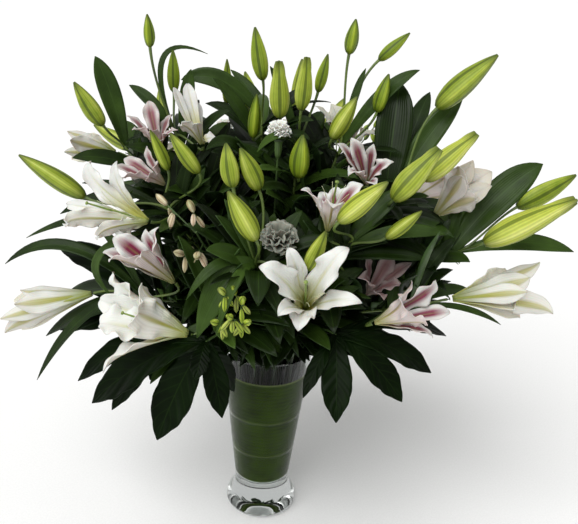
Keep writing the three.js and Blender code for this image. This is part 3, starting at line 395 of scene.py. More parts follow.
# The bouquet, stem by stem, as it is seen from the eye.
LILY_STEMS = (
    Stem("stem_top_left", seen(172, 126, 40), buds=(
        Bud(seen(147, 14, 20), seen(150, 47, 20), 17, ripe=0),
        Bud(seen(173, 50, 70), seen(174, 92, 70), 20, 0.96, ripe=0),
    ), leaves=(
        Leaf(seen(125, 146, -20), 24, 0.75, tone=0.2), Leaf(seen(168, 190, -60), 24, 0.6),
        Leaf(seen(191, 69, 10), 22, 0.9), Leaf(seen(129, 85, 60), 19, 0.97),
        Leaf(seen(208, 54, 90), 9, 0.95, bow=0.48, lean=0.45),
    )),
    Stem("stem_upper_left", seen(124, 146, 60), buds=(
        Bud(seen(74, 82, 0), seen(103, 125, 10), 27, ripe=0.18),
    ), leaves=(
        Leaf(seen(95, 56, 70), 32, 0.98, face=0.8), Leaf(seen(72, 158, 40), 26, 0.85, tone=0.15),
        Leaf(seen(60, 214, 70), 26, 0.7, tone=0.1), Leaf(seen(120, 120, 150), 28, 0.8),
    )),
    Stem("stem_left", seen(165, 205, -50), buds=(
        Bud(seen(19, 155, -10), seen(85, 197, -20), 30, 0.97, ripe=0.23),
        Bud(seen(150, 130, -60), seen(168, 170, -60), 18, ripe=0.18),
        Bud(seen(170, 133, -90), seen(199, 173, -90), 22, 0.95, ripe=0.23),
    ), leaves=(
        Leaf(seen(82, 183, 0), 17, 0.92, tone=0.1),
        Leaf(seen(114, 298, -120), 12, 0.85, bow=0.1, lean=0.6, tone=0.4, extra=True),
        Leaf(seen(26, 238, 20), 15, 0.85, tone=0.2), Leaf(seen(160, 232, -150), 20, 0.8),
    )),
    Stem("stem_low_left", seen(140, 297, -70), leaves=(
        Leaf(seen(5, 264, -30), 22, 0.95, bow=0.32, tone=0.15),
        Leaf(seen(37, 380, -60), 19, 0.98, bow=0.25, tone=0.1), Leaf(seen(97, 225, 10), 14, 0.95),
        Leaf(seen(60, 300, 60), 34, 0.9, tone=0.1), Leaf(seen(46, 336, 10), 34, 0.85, tone=0.05),
    )),
    Stem("stem_front_left", seen(208, 318, -165), leaves=(
        Leaf(seen(178, 236, -200), 18, 0.8), Leaf(seen(150, 384, -210), 26, 0.9),
    )),
    Stem("stem_top", seen(262, 116, 60), buds=(
        Bud(seen(255, 27, 40), seen(263, 80, 40), 25, ripe=0.08),
        Bud(seen(257, 94, 10), seen(253, 138, 10), 20, 0.9, ripe=0),
        Bud(seen(246, 93, 70), seen(246, 120, 70), 14, 0.97, ripe=0),
        Bud(seen(227, 59, 100), seen(227, 104, 100), 17, 0.95, ripe=0),
    ), leaves=(
        Leaf(seen(181, 80, 60), 28, bow=0.26, face=0.85, tone=0.35), Leaf(seen(212, 78, 20), 22, 0.85),
        Leaf(seen(310, 140, -20), 18, 0.75, bow=0.25, tone=0),
        Leaf(seen(206, 150, -50), 24, 0.7, bow=0.3, tone=0.15),
    )),
    Stem("stem_centre", seen(256, 262, -165), buds=(
        Bud(seen(228, 191, -200), seen(256, 240, -205), 29, ripe=0.38),
        Bud(seen(226, 143, -150), seen(233, 187, -155), 25, 0.9, ripe=0.23),
        Bud(seen(240, 148, -110), seen(259, 190, -115), 27, 0.85, ripe=0.23),
        Bud(seen(326, 231, -215), seen(307, 270, -205), 23, ripe=0.33),
    ), leaves=(
        Leaf(seen(197, 338, -215), 40, 0.97, bow=0.35, face=0.7, tone=0.35),
        Leaf(seen(258, 306, -235), 34, 0.85, bow=0.3, tone=0.1), Leaf(seen(206, 250, -190), 26, 0.9),
        Leaf(seen(216, 336, -232), 14, 0.93, bow=0.4, face=0.7, tone=0.5, extra=True),
        Leaf(seen(186, 300, -205), 15, 0.9, bow=0.4, face=0.7, extra=True),
    )),
    Stem("stem_front", seen(300, 322, -120), leaves=(
        Leaf(seen(330, 350, -190), 24, 0.8), Leaf(seen(345, 280, -170), 24, 0.85),
    )),
    Stem("stem_top_middle", seen(298, 148, 10), buds=(
        Bud(seen(279, 61, 0), seen(280, 118, 0), 31, ripe=0.3, parted=True),
        Bud(seen(307, 57, -20), seen(301, 110, -20), 26, ripe=0.28, parted=True),
        Bud(seen(328, 54, 40), seen(318, 92, 40), 18, ripe=0),
        Bud(seen(303, 135, -60), seen(299, 178, -60), 30, 0.9, ripe=0),
    ), leaves=(
        Leaf(seen(257, 152, -70), 13, bow=0.28, tone=0.45, extra=True), Leaf(seen(270, 66, 60), 16),
        Leaf(seen(262, 190, -70), 24, 0.75),
    )),
    Stem("stem_top_right", seen(340, 148, 30), buds=(
        Bud(seen(356, 19, 40), seen(349, 54, 40), 21, ripe=0),
        Bud(seen(389, 74, 20), seen(377, 112, 20), 22, 0.95, ripe=0),
        Bud(seen(357, 97, -40), seen(332, 139, -40), 26, 0.95, ripe=0.38),
        Bud(seen(410, 33, 90), seen(379, 60, 90), 19, ripe=0),
    ), leaves=(
        Leaf(seen(420, 70, 90), 24, bow=0.15), Leaf(seen(366, 68, 60), 12),
    )),
    Stem("stem_right_upper", seen(396, 196, -20), buds=(
        Bud(seen(498, 55, 0), seen(437, 108, 0), 35, ripe=0.18),
        Bud(seen(440, 149, -90), seen(393, 200, -100), 36, 0.97, ripe=0.33, parted=True),
        Bud(seen(477, 134, -40), seen(424, 180, -50), 34, ripe=0.65, parted=True),
    ), leaves=(
        Leaf(seen(400, 82, 40), 54, 0.9, face=0.85, tone=0.05),
        Leaf(seen(463, 98, 30), 34, 0.92, face=0.8, tone=0.35),
        Leaf(seen(430, 92, 90), 30, 0.95, tone=0.15), Leaf(seen(452, 205, 60), 26, 0.75, tone=0.15),
    )),
    Stem("stem_right", seen(462, 250, -10), buds=(
        Bud(seen(576, 175, 20), seen(517, 207, 10), 31, ripe=0.13),
        Bud(seen(576, 200, -40), seen(484, 243, -50), 42, 0.98, ripe=0.75, parted=True),
    ), leaves=(
        Leaf(seen(543, 164, 40), 50, 0.92, face=0.8),
        Leaf(seen(574, 252, -10), 27, 0.97, face=0.7, tone=0.4), Leaf(seen(470, 262, -70), 24, 0.8),
        Leaf(seen(452, 190, 110), 30, 0.8),
    )),
    Stem("stem_low_right", seen(418, 306, -90), leaves=(
        Leaf(seen(501, 325, -40), 11, 0.97), Leaf(seen(470, 290, -20), 22, 0.85),
        Leaf(seen(400, 262, -120), 24, 0.8),
    )),
    Stem("stem_centre_right", seen(352, 240, -120), buds=(
        Bud(seen(388, 182, -180), seen(339, 222, -175), 28, ripe=0.65),
        Bud(seen(422, 211, -130), seen(386, 238, -130), 19, 0.95, ripe=0.38),
    ), leaves=(
        Leaf(seen(447, 235, -110), 20, 0.95, face=0.7, tone=0.35), Leaf(seen(385, 220, -90), 12, 0.98),
    )),
    Stem("stem_back_left", at(-165, 150, 520), buds=(
        Bud(at(-330, 235, 590), at(-250, 200, 560), 28), Bud(at(-215, 245, 660), at(-200, 200, 575), 25),
    ), leaves=(
        Leaf(at(-330, 160, 470), 32, 0.9), Leaf(at(-255, 290, 430), 34, 0.9),
        Leaf(at(-120, 250, 560), 30, 0.85), Leaf(at(-270, 60, 400), 30, 0.7),
    )),
    Stem("stem_back", at(20, 170, 570), buds=(
        Bud(at(-70, 285, 690), at(-45, 235, 625), 27), Bud(at(30, 210, 725), at(25, 195, 640), 24),
        Bud(at(110, 300, 650), at(80, 240, 600), 28, 0.97),
    ), leaves=(
        Leaf(at(-40, 350, 500), 34, 0.85), Leaf(at(120, 330, 530), 32, 0.9),
        Leaf(at(-90, 220, 700), 26, 0.95),
    )),
    Stem("stem_back_right", at(190, 130, 500), buds=(
        Bud(at(330, 230, 590), at(265, 185, 545), 29), Bud(at(210, 210, 650), at(205, 180, 570), 24),
    ), leaves=(
        Leaf(at(350, 140, 480), 32, 0.9), Leaf(at(270, 280, 440), 34, 0.9),
        Leaf(at(140, 230, 560), 30, 0.85), Leaf(at(290, 40, 380), 30, 0.7),
    )),
)

BLOOMS = (
    Bloom("bloom_front", "stem_front", Kind.WHITE, seen(305, 312, -125), (
        seen(288, 248, -190), seen(349, 248, -195), seen(362, 303, -210),
        seen(298, 331, -225), seen(278, 316, -235), seen(259, 267, -215),
    ), wide=35, curl=0.18, bell=7, stamens=30, ruffle=1.3),
    Bloom("bloom_low_left", "stem_front_left", Kind.WHITE, seen(191, 335, -175), (
        seen(142, 283, -190), seen(114, 272, -150), seen(100, 300, -150),
        seen(100, 324, -175), seen(103, 373, -215), seen(138, 313, -235),
    ), wide=54, curl=0.02, bell=24, cup=0.32, stamens=24, ruffle=1.1),
    Bloom("bloom_left", "stem_left", Kind.WHITE, seen(151, 222, -90), (
        seen(117, 161, -75), seen(91, 161, -85), seen(68, 206, -60),
        seen(66, 227, -150), seen(97, 240, -150), seen(118, 236, -120),
    ), wide=32, curl=0.1, start=0.9, bell=12, stamens=24, flat=0.65, full=0.84, ruffle=1.5),
    Bloom("bloom_low_left_pink", "stem_low_left", Kind.PINK, seen(176, 284, -120), (
        seen(146, 229, -110), seen(114, 237, -120), seen(103, 253, -150),
        seen(109, 262, -180), seen(141, 257, -200), seen(159, 227, -135),
    ), wide=34, curl=0.06, start=0.9, bell=12),
    Bloom("bloom_left_high_pink", "stem_left", Kind.PINK, seen(167, 186, -30), (
        seen(147, 146, -15), seen(124, 159, -15), seen(115, 166, -45),
        seen(122, 180, -75), seen(148, 178, -85), seen(161, 157, -50),
    ), wide=28, curl=0.02, start=0.85, full=0.8, tone=0.3),
    Bloom("bloom_low_right_pink", "stem_low_right", Kind.PINK, seen(372, 324, -150), (
        seen(411, 280, -150), seen(435, 280, -125), seen(450, 313, -135),
        seen(427, 326, -180), seen(433, 338, -160), seen(399, 298, -200),
    ), wide=33, curl=0.06, start=0.75, bell=12, tone=0.1),
    Bloom("bloom_far_right", "stem_low_right", Kind.CREAM, seen(450, 299, -50), (
        seen(540, 262, -30), seen(530, 277, -60), seen(528, 292, -80),
        seen(553, 314, -60), seen(520, 318, -30), seen(505, 268, -10),
    ), wide=34, curl=-0.05, flat=0.6, full=1.25, ruffle=0.5),
    Bloom("bloom_right_cream", "stem_right", Kind.CREAM, seen(434, 216, 0), (
        seen(473, 160, 0), seen(492, 172, 10), seen(492, 186, -10),
        seen(478, 200, -30), seen(462, 176, -50), seen(458, 166, -20),
    ), wide=34, curl=-0.06, start=0.85, flat=0.6, full=1.3, ruffle=0.35, tone=0.22),
    Bloom("bloom_centre_pink", "stem_centre_right", Kind.PINK, seen(327, 233, -140), (
        seen(301, 190, -175), seen(322, 192, -115), seen(337, 187, -120),
        seen(363, 185, -140), seen(352, 204, -190), seen(333, 208, -205),
    ), wide=28, curl=0.08, start=0.9, stamens=20),
    Bloom("bloom_upper_right_pink", "stem_top_right", Kind.PINK, seen(367, 186, -30), (
        seen(337, 144, -85), seen(351, 138, -65), seen(374, 144, -55),
        seen(394, 162, -70), seen(377, 187, -105), seen(348, 176, -110),
    ), wide=28, curl=0.1, start=0.85, full=0.8, tone=0.1),
    Bloom("bloom_far_left", "stem_low_left", Kind.CREAM, seen(94, 293, -10), (
        seen(20, 290, 0), seen(14, 304, -30), seen(0, 319, -20),
        seen(5, 333, -10), seen(22, 330, 20), seen(14, 300, 30),
    ), wide=30, curl=-0.08, flat=0.55, full=1.25, ruffle=0.4),
    Bloom("bloom_top_left", "stem_top_left", Kind.WHITE, seen(203, 147, 0), (
        seen(173, 88, 10), seen(188, 84, 35), seen(199, 103, 45),
        seen(217, 138, 0), seen(197, 124, -45), seen(178, 126, -30),
    ), wide=24, curl=0.06, start=0.95, flat=0.55, full=0.82, ruffle=0.6, tone=0.1),
    Bloom("bloom_top_left_pink", "stem_top_left", Kind.PINK, seen(160, 152, 10), (
        seen(126, 116, 10), seen(149, 101, 30), seen(172, 114, 30),
        seen(178, 130, 0), seen(152, 132, -40), seen(132, 130, -25),
    ), wide=30, curl=0.03, start=0.9, full=0.8, tone=0.4),
    Bloom("bloom_left_cream", "stem_upper_left", Kind.CREAM, seen(118, 153, 50), (
        seen(67, 131, 40), seen(88, 133, 60), seen(84, 142, 90),
        seen(72, 160, 60), seen(64, 152, 30), seen(70, 140, 10),
    ), wide=26, curl=-0.05, start=0.9, flat=0.6, ruffle=0.4),
    Bloom("bloom_top_right_cream", "stem_top_right", Kind.CREAM, seen(346, 158, 80), (
        seen(315, 106, 70), seen(331, 104, 100), seen(366, 112, 90),
        seen(380, 132, 60), seen(356, 128, 30), seen(326, 122, 40),
    ), wide=30, curl=0, start=0.9),
    Bloom("bloom_right_inner_pink", "stem_centre_right", Kind.PINK, seen(366, 296, -60), (
        seen(365, 256, -70), seen(392, 252, -60), seen(412, 263, -70),
        seen(402, 286, -90), seen(384, 300, -120), seen(358, 278, -110),
    ), wide=30, curl=0.04, start=0.75, full=0.85, tone=0.75),
    Bloom("bloom_back_left", "stem_back_left", Kind.WHITE, at(-175, 200, 490),
          mouth_tips(at(-175, 200, 490), at(-230, 275, 520), 62),
          wide=44, curl=0.1, start=0.9),
    Bloom("bloom_back", "stem_back", Kind.WHITE, at(25, 225, 530),
          mouth_tips(at(25, 225, 530), at(40, 315, 565), 64, 0.3),
          wide=44, curl=0.1, start=0.85),
    Bloom("bloom_back_right", "stem_back_right", Kind.PINK, at(215, 175, 490),
          mouth_tips(at(215, 175, 490), at(285, 240, 515), 60, 0.6),
          wide=42, curl=0.1, start=0.9),
)

PALMS = (
    Palm("palm_leaf_front_left", seen(206, 342, -190), (
        Lobe(seen(92, 403, -170), 58), Lobe(seen(157, 440, -215), 56), Lobe(seen(222, 418, -225), 34),
        Lobe(seen(196, 380, -235), 26), Lobe(seen(130, 352, -160), 34),
        Lobe(seen(234, 392, -150), 30, extra=True),
    )),
    Palm("palm_leaf_left", seen(178, 330, -70), (
        Lobe(seen(78, 381, -40), 42), Lobe(seen(60, 330, 0), 44), Lobe(seen(112, 410, -90), 40),
        Lobe(seen(80, 290, 60), 36), Lobe(seen(150, 380, -120), 34),
        Lobe(seen(58, 246, 60), 52, extra=True),
    )),
    Palm("palm_leaf_front_right", seen(336, 335, -150), (
        Lobe(seen(303, 398, -215), 22), Lobe(seen(336, 423, -225), 42), Lobe(seen(402, 402, -180), 44),
        Lobe(seen(431, 373, -130), 42), Lobe(seen(446, 336, -80), 32),
    )),
    Palm("palm_leaf_back_right", at(130, 110, 400), (
        Lobe(at(275, 90, 310), 44), Lobe(at(280, 180, 330), 46), Lobe(at(210, 260, 330), 46),
        Lobe(at(120, 260, 350), 42), Lobe(at(190, 20, 330), 36),
    )),
    Palm("palm_leaf_back_left", at(-110, 120, 400), (
        Lobe(at(-250, 80, 320), 42), Lobe(at(-260, 190, 320), 46), Lobe(at(-170, 270, 320), 46),
        Lobe(at(-70, 270, 340), 42), Lobe(at(-150, 0, 330), 34),
    )),
    Palm("palm_leaf_back", at(10, 130, 390), (
        Lobe(at(-60, 245, 270), 44), Lobe(at(15, 290, 260), 48), Lobe(at(90, 240, 270), 44),
        Lobe(at(-40, 200, 400), 30), Lobe(at(60, 210, 400), 30),
    )),
)

CARNATIONS = (
    Carnation("carnation_upper", seen(279, 132, -20), radius=18),
    Carnation("carnation_middle", seen(279, 238, -150), radius=25, tone=0.9),
    Carnation("carnation_back", at(-90, 200, 600), radius=24),
)

SPRAYS = (
    Spray("spray_front", seen(228, 322, -200), (
        seen(219, 288, -225), seen(232, 286, -205), seen(228, 316, -250), seen(243, 297, -235),
        seen(250, 322, -240), seen(211, 322, -235),
    ), wide=10, long=20),
    Spray("spray_left", seen(196, 232, -130), (
        seen(188, 200, -150), seen(174, 252, -175), seen(184, 248, -160), seen(196, 258, -185),
        seen(156, 194, -100),
    ), wide=11, long=22, blush=0.8),
    Spray("spray_back", at(110, 170, 560), (
        at(120, 215, 640), at(150, 220, 620), at(170, 240, 590), at(95, 240, 620), at(170, 190, 640),
    ), wide=11, long=22),
)


# The vase's sizes are read from the frame, in millimetres.
@dataclass(frozen=True)
class VaseSizes:
    """The glass vase, its liner and its water."""

    height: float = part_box("vase_glass")[1].z / MM
    rim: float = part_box("vase_glass")[1].x / MM
    liner_top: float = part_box("liner_leaf_3")[1].z / MM
    water_top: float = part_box("water")[1].z / MM
    floor: float = 57
    neck_radius: float = 45
    neck_height: float = 52
    foot: float = 59
    foot_edge: float = 8
    stand: float = 6
    hollow: float = 1.5
    wall: float = 3.6
    corner: float = 5
    liner_bottom: float = 60
    liner_thick: float = 0.8
    liner_lap: float = 14
    liner_tuck: float = 3
    wet: float = 0.05
    bands: int = 3
    gap: float = 0.35
    facets: int = 128
    hoops: float = 20
    hoop_ends: tuple[float, ...] = (0, 1, 4)

    def outside(self, z: float) -> float:
        """The radius of the flared body at a height."""
        flare = (self.rim - self.neck_radius) / (self.height - self.neck_height)
        return self.neck_radius + (z - self.neck_height) * flare

    def inside(self, z: float) -> float:
        """The radius of the body's bore at a height."""
        return self.outside(z) - self.wall

    def climb(self, low: float, high: float) -> list[float]:
        """Heights up a straight wall, close together at its ends, so that its reflections run straight."""
        between = [low + self.hoops * i for i in range(1, int((high - low) / self.hoops))]
        return [*(low + z for z in self.hoop_ends), *between, *(high - z for z in reversed(self.hoop_ends))]


SIZES = VaseSizes()


@dataclass(frozen=True)
class StemSizes:
    """How stems, stalks and throats are made.

    A stem leaves the mouth straight and is drawn up at its bend, each at a share of the way to its head. A
    round rod is trimmed to the girth of the solid's, whose corners stand out further. The bouquet opens out
    from a share of the vase's height.
    """

    radius: float = 3.1
    slim: float = 2.3
    taper: float = 0.35
    spread: float = 1.93
    straight: float = 0.4
    bend: float = 0.65
    stalk: float = 1.7
    stalk_end: float = 2.5
    stalk_root: float = 0.5
    stalk_bends: Pair = (0.3, 0.35)
    throat_layer: float = 3.2
    throat_sunk: float = 1.5
    claw: float = 4
    lift: float = 0.2
    trim: float = 0.94
    opens_at: float = 0.8
    calyx: float = 24
    calyx_radius: float = 5.5
    rings: tuple[tuple[int, float], ...] = ((1, 0), (6, 11.3), (10, 20.5), (14, 30.5))


STEM = StemSizes()
GOLDEN = radians(137.5)  # the turn from one leaf or petal to the next
ON_AXIS = 0.01  # how close to its axis a corner has no turn of its own
STRAIGHT = "straight"  # what a mesh is named that others are bent from


# Straight pieces, each made once by operators, which are bent to their places
def stored(bm: BMesh) -> Mesh:
    """Keeps a straight piece.

    Args:
        bm: The piece, which is freed.

    Returns:
        Its mesh.
    """
    mesh = bpy.data.meshes.new(STRAIGHT)
    bm.to_mesh(mesh)
    bm.free()
    return mesh


@cache
def straight_blade(across: int, along: int) -> Mesh:
    """A flat blade from y 0 to 1 and from x -1 to 1.

    Args:
        across: How many faces it has across.
        along: How many faces it has along.

    Returns:
        The mesh, with a UV map across and along it.
    """
    bm = bmesh.new()
    bm.loops.layers.uv.new("UVMap")
    bmesh.ops.create_grid(bm, x_segments=across, y_segments=along, size=1, calc_uvs=True)
    bmesh.ops.scale(bm, vec=(1, 0.5, 1), verts=bm.verts)
    bmesh.ops.translate(bm, vec=(0, 0.5, 0), verts=bm.verts)
    return stored(bm)


@cache
def straight_rod(sides: int, steps: int) -> Mesh:
    """A closed rod of radius 1 from z 0 to 1.

    Args:
        sides: How many faces it has round.
        steps: How many lengths it is cut into.

    Returns:
        The mesh, with a UV map round and along it.
    """
    bm = bmesh.new()
    uv = bm.loops.layers.uv.new("UVMap")
    bmesh.ops.create_cone(bm, cap_ends=True, cap_tris=True, segments=sides, radius1=1, radius2=1, depth=1)
    bmesh.ops.translate(bm, vec=(0, 0, 0.5), verts=bm.verts)
    for i in range(1, steps):
        every = [*bm.verts, *bm.edges, *bm.faces]
        bmesh.ops.bisect_plane(bm, geom=every, plane_co=(0, 0, i / steps), plane_no=(0, 0, 1))
    wrap(bm, uv, 0, 1)
    return stored(bm)


def wrap(bm: BMesh, uv: BMLayerItem, low: float, high: float) -> None:
    """Maps a round piece by its turn about the upright axis and its height.

    A corner on the axis has no turn of its own and gets its face's.

    Args:
        bm: The piece.
        uv: Its UV layer.
        low: The height that gets 0.
        high: The height that gets 1.
    """
    for face in bm.faces:
        middle = face.calc_center_median()
        turn = atan2(middle.y, middle.x) / tau
        for loop in face.loops:
            co = loop.vert.co
            own = atan2(co.y, co.x) / tau if co.xy.length > ON_AXIS else turn
            loop[uv].uv = (own - round(own - turn), (co.z - low) / (high - low))


def along_blade(
    line: Bend,
    side: Callable[[Vector], Vector],
    half: Callable[[float], float],
    section: Callable[[float, float], Pair],
) -> Place:
    """Bends a straight blade along a line.

    Args:
        line: The line that its middle follows.
        side: Gives the direction across, from the direction along.
        half: Gives half its width at a share of its length.
        section: Gives how far a point lies across and above the middle, in halves of the width.

    Returns:
        A function that takes a point of the straight blade to its place.
    """
    frames: dict[float, tuple[Vector, Vector, Vector, float]] = {}

    def place(co: Vector) -> Vector:
        """Takes one point of the straight blade to its place."""
        t = round(co.y, 5)
        if t not in frames:
            along = line.tangent(t)
            across = side(along).normalized()
            frames[t] = line.point(t), across, along.cross(across).normalized(), half(t)
        centre, across, normal, wide = frames[t]
        out, lift = section(-co.x, t)
        return centre + across * (out * wide) + normal * (lift * wide)

    return place


def along_rod(
    point: Callable[[float], Vector],
    tangent: Callable[[float], Vector],
    radius: Callable[[float], float],
    swell: Callable[[float, float], float] = lambda turn, t: 1,
) -> Place:
    """Bends a straight rod along a line.

    Args:
        point: Gives the line's place at a share of its length.
        tangent: Gives its direction there.
        radius: Gives the rod's radius there.
        swell: Gives how much fuller it is at an angle round it and a share along it.

    Returns:
        A function that takes a point of the straight rod to its place.
    """
    frames: dict[float, tuple[Vector, Vector, Vector, float]] = {}

    def place(co: Vector) -> Vector:
        """Takes one point of the straight rod to its place."""
        t = min(max(round(co.z, 5), 0), 1)
        if t not in frames:
            first, second = basis(tangent(t))
            frames[t] = point(t), first, second, radius(t)
        centre, first, second, wide = frames[t]
        wide *= swell(atan2(co.y, co.x), t)
        return centre + first * (co.x * wide) + second * (co.y * wide)

    return place


class Work:
    """A piece while it is made, in millimetres."""

    def __init__(self) -> None:
        """Starts with nothing."""
        self.bm = bmesh.new()
        self.uv = self.bm.loops.layers.uv.new("UVMap")
        self.tone = self.bm.verts.layers.float.new("tone")

    def add(self, straight: Mesh, place: Place, tone: float = 0, skin: int = 0, turn: float = 0) -> None:
        """Bends a straight piece to its place and adds it.

        Args:
            straight: The straight piece.
            place: Takes each of its points to its place.
            tone: Where this one stands among its like, from 0 to 1, which its finish reads.
            skin: Which of the piece's materials it takes.
            turn: How far its map is turned round it, for a rod whose pattern is turned.
        """
        verts, faces = len(self.bm.verts), len(self.bm.faces)
        self.bm.from_mesh(straight)
        self.bm.verts.ensure_lookup_table()
        self.bm.faces.ensure_lookup_table()
        for vert in self.bm.verts[verts:]:
            vert.co = place(vert.co)
            vert[self.tone] = tone
        for face in self.bm.faces[faces:]:
            face.material_index = skin
            for loop in face.loops if turn else ():
                loop[self.uv].uv.x += turn / tau

    def piece(
        self, name: str, skins: Sequence[Material], node: str, slot: str, thick: float = 0, sharp: float = 60
    ) -> None:
        """Finishes the piece and sets it in the frame.

        Args:
            name: The piece's name.
            skins: Its materials: blades take the first inside and the last outside.
            node: The CAD node that it stands for.
            slot: The record's material slot of its finish; it is not used.
            thick: The thickness that its blades are given, or 0 for a closed piece.
            sharp: The angle in degrees past which an edge stays sharp.
        """
        if not thick:
            bmesh.ops.recalc_face_normals(self.bm, faces=self.bm.faces)
        bmesh.ops.scale(self.bm, vec=(MM, MM, MM), verts=self.bm.verts)
        mesh = bpy.data.meshes.new(name)
        self.bm.to_mesh(mesh)
        self.bm.free()
        mesh.shade_smooth()
        mesh.set_sharp_from_angle(angle=radians(sharp))
        for skin in skins:
            mesh.materials.append(skin)
        made = linked(name, mesh)
        if thick:
            wall = made.modifiers.new("thickness", "SOLIDIFY")
            wall.thickness = thick * MM
            wall.offset = 0
            wall.material_offset = wall.material_offset_rim = len(skins) - 1
        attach(made, BODY)
        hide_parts(node)
        LOG.info("%s: %d faces", name, len(mesh.polygons))


# Finishes
Adder = Callable[..., NodeSocket | None]
Feeds = dict[str | int, object]
WAVE = tau / 20  # the scale at which a band texture draws one band across a map


def srgb(value: int) -> tuple[float, float, float, float]:
    """Turns an sRGB hex colour to linear light.

    Args:
        value: The colour as 0xRRGGBB.

    Returns:
        Its red, green and blue in linear light, and an alpha of 1.
    """
    parts = [((value >> shift) & 255) / 255 for shift in (16, 8, 0)]
    red, green, blue = (p / 12.92 if p <= 0.04045 else ((p + 0.055) / 1.055) ** 2.4 for p in parts)
    return red, green, blue, 1


def grow(
    tree: NodeTree, kind: str, feeds: Feeds | Sequence[object] = (), pick: int | str = 0, **settings: object
) -> NodeSocket | None:
    """Adds one node with its settings and links.

    Args:
        tree: The material's node tree.
        kind: The node's type, without its first word.
        feeds: What goes into its inputs, in order or by name or number: an output, a number or a hex colour.
        pick: Which of its outputs is wanted.
        settings: The node's own settings, and a ramp's stops as places with hex colours or greys up to 1.

    Returns:
        The output, or None where the node has none.
    """
    made = tree.nodes.new(f"ShaderNode{kind}")
    for index, (x, colour) in enumerate(settings.pop("stops", ())):
        marks = made.color_ramp.elements
        mark = marks[index] if index < 2 else marks.new(x)
        mark.position, mark.color = x, srgb(colour) if colour > 1 else (colour, colour, colour, 1)
    for name, value in settings.items():
        setattr(made, name, value)
    for name, value in feeds.items() if isinstance(feeds, dict) else enumerate(feeds):
        socket = made.inputs[name]
        if isinstance(value, NodeSocket):
            tree.links.new(value, socket)
        else:
            socket.default_value = srgb(value) if socket.type == "RGBA" else value
    return made.outputs[pick] if made.outputs else None


@dataclass(frozen=True)
class Finish:
    """What a surface is made of."""

    name: str

    def build(self) -> Material:
        """Makes the material.

        Returns:
            The material, with its nodes.
        """
        material = bpy.data.materials.new(self.name)
        material.use_nodes = True
        material.node_tree.nodes.clear()
        add = partial(grow, material.node_tree)
        add("OutputMaterial", [add("BsdfPrincipled", self.dress(add))])
        return material

    def dress(self, add: Adder) -> Feeds:
        """Draws the patterns.

        Args:
            add: Adds a node to the material.

        Returns:
            What goes into each of the shader's sockets.
        """
        raise NotImplementedError


@dataclass(frozen=True)
class Clear(Finish):
    """A clear body: pressed glass or water."""

    tint: int = 0xF6FAF8
    ior: float = 1.36
    mirror: int = 0x7C7C7C

    # Soda-lime glass, pressed and fire-polished: it has no texture of its own. What the eye gets is the
    # bright and dark lines at the rim, the foot's edge and the heel, where the wall is thick and bends the
    # light, and a clear flank between them. It is seen in a dim room, so its mirror is turned down, and
    # only its edges shine. The water has a softer edge, as it bends light less.
    def dress(self, add: Adder) -> Feeds:
        """Sets a clear, smooth body."""
        return {
            "Base Color": self.tint,
            "Roughness": 0.0,
            "IOR": self.ior,
            "Specular Tint": self.mirror,
            "Transmission Weight": 1.0,
        }


@dataclass(frozen=True)
class RolledLeaf(Finish):
    """A broad strap leaf that lines the vase."""

    dark: int = 0x1C2A04
    light: int = 0x3A500E
    edge: int = 0x6E7C48
    veins: float = 11

    # A fresh aspidistra leaf, rolled round with its veins level. It lies wet against the glass, so it has
    # hardly any reflection of its own, and the eye gets a deep green with fine lines that run round the
    # vase, blotches where the leaf lies closer to the glass, and one pale line along each cut edge. The
    # real veins are 1.5 mm apart and are drawn 6 mm apart, as they would not show.
    def dress(self, add: Adder) -> Feeds:
        """Draws level veins, blotches and a pale cut edge."""
        uv = add("UVMap", uv_map="UVMap")
        along = add("SeparateXYZ", [uv], "Y")
        veins = add(
            "TexWave",
            {"Vector": uv, "Scale": WAVE * self.veins, "Distortion": 0.6, "Detail Scale": 2.0},
            "Fac",
            bands_direction="Y",
        )
        spot = add("TexCoord", pick="Object")
        patches = add("TexNoise", {"Vector": spot, "Scale": 1 / (30 * MM), "Detail": 3.0})
        share = add("Math", [veins, 0.22, patches], operation="MULTIPLY_ADD")
        skin = add("ValToRGB", [share], stops=((0.3, self.dark), (0.8, self.light)))
        rim = add("ValToRGB", [along], stops=((0.015, 0.5), (0.035, 0), (0.96, 0), (0.975, 1)))
        return {
            "Base Color": add("Mix", {0: rim, 6: skin, 7: self.edge}, 2, data_type="RGBA"),
            "Roughness": 0.5,
            "Specular IOR Level": 0.04,
            "Normal": add("Bump", {"Distance": 0.03 * MM, "Height": veins}),
        }


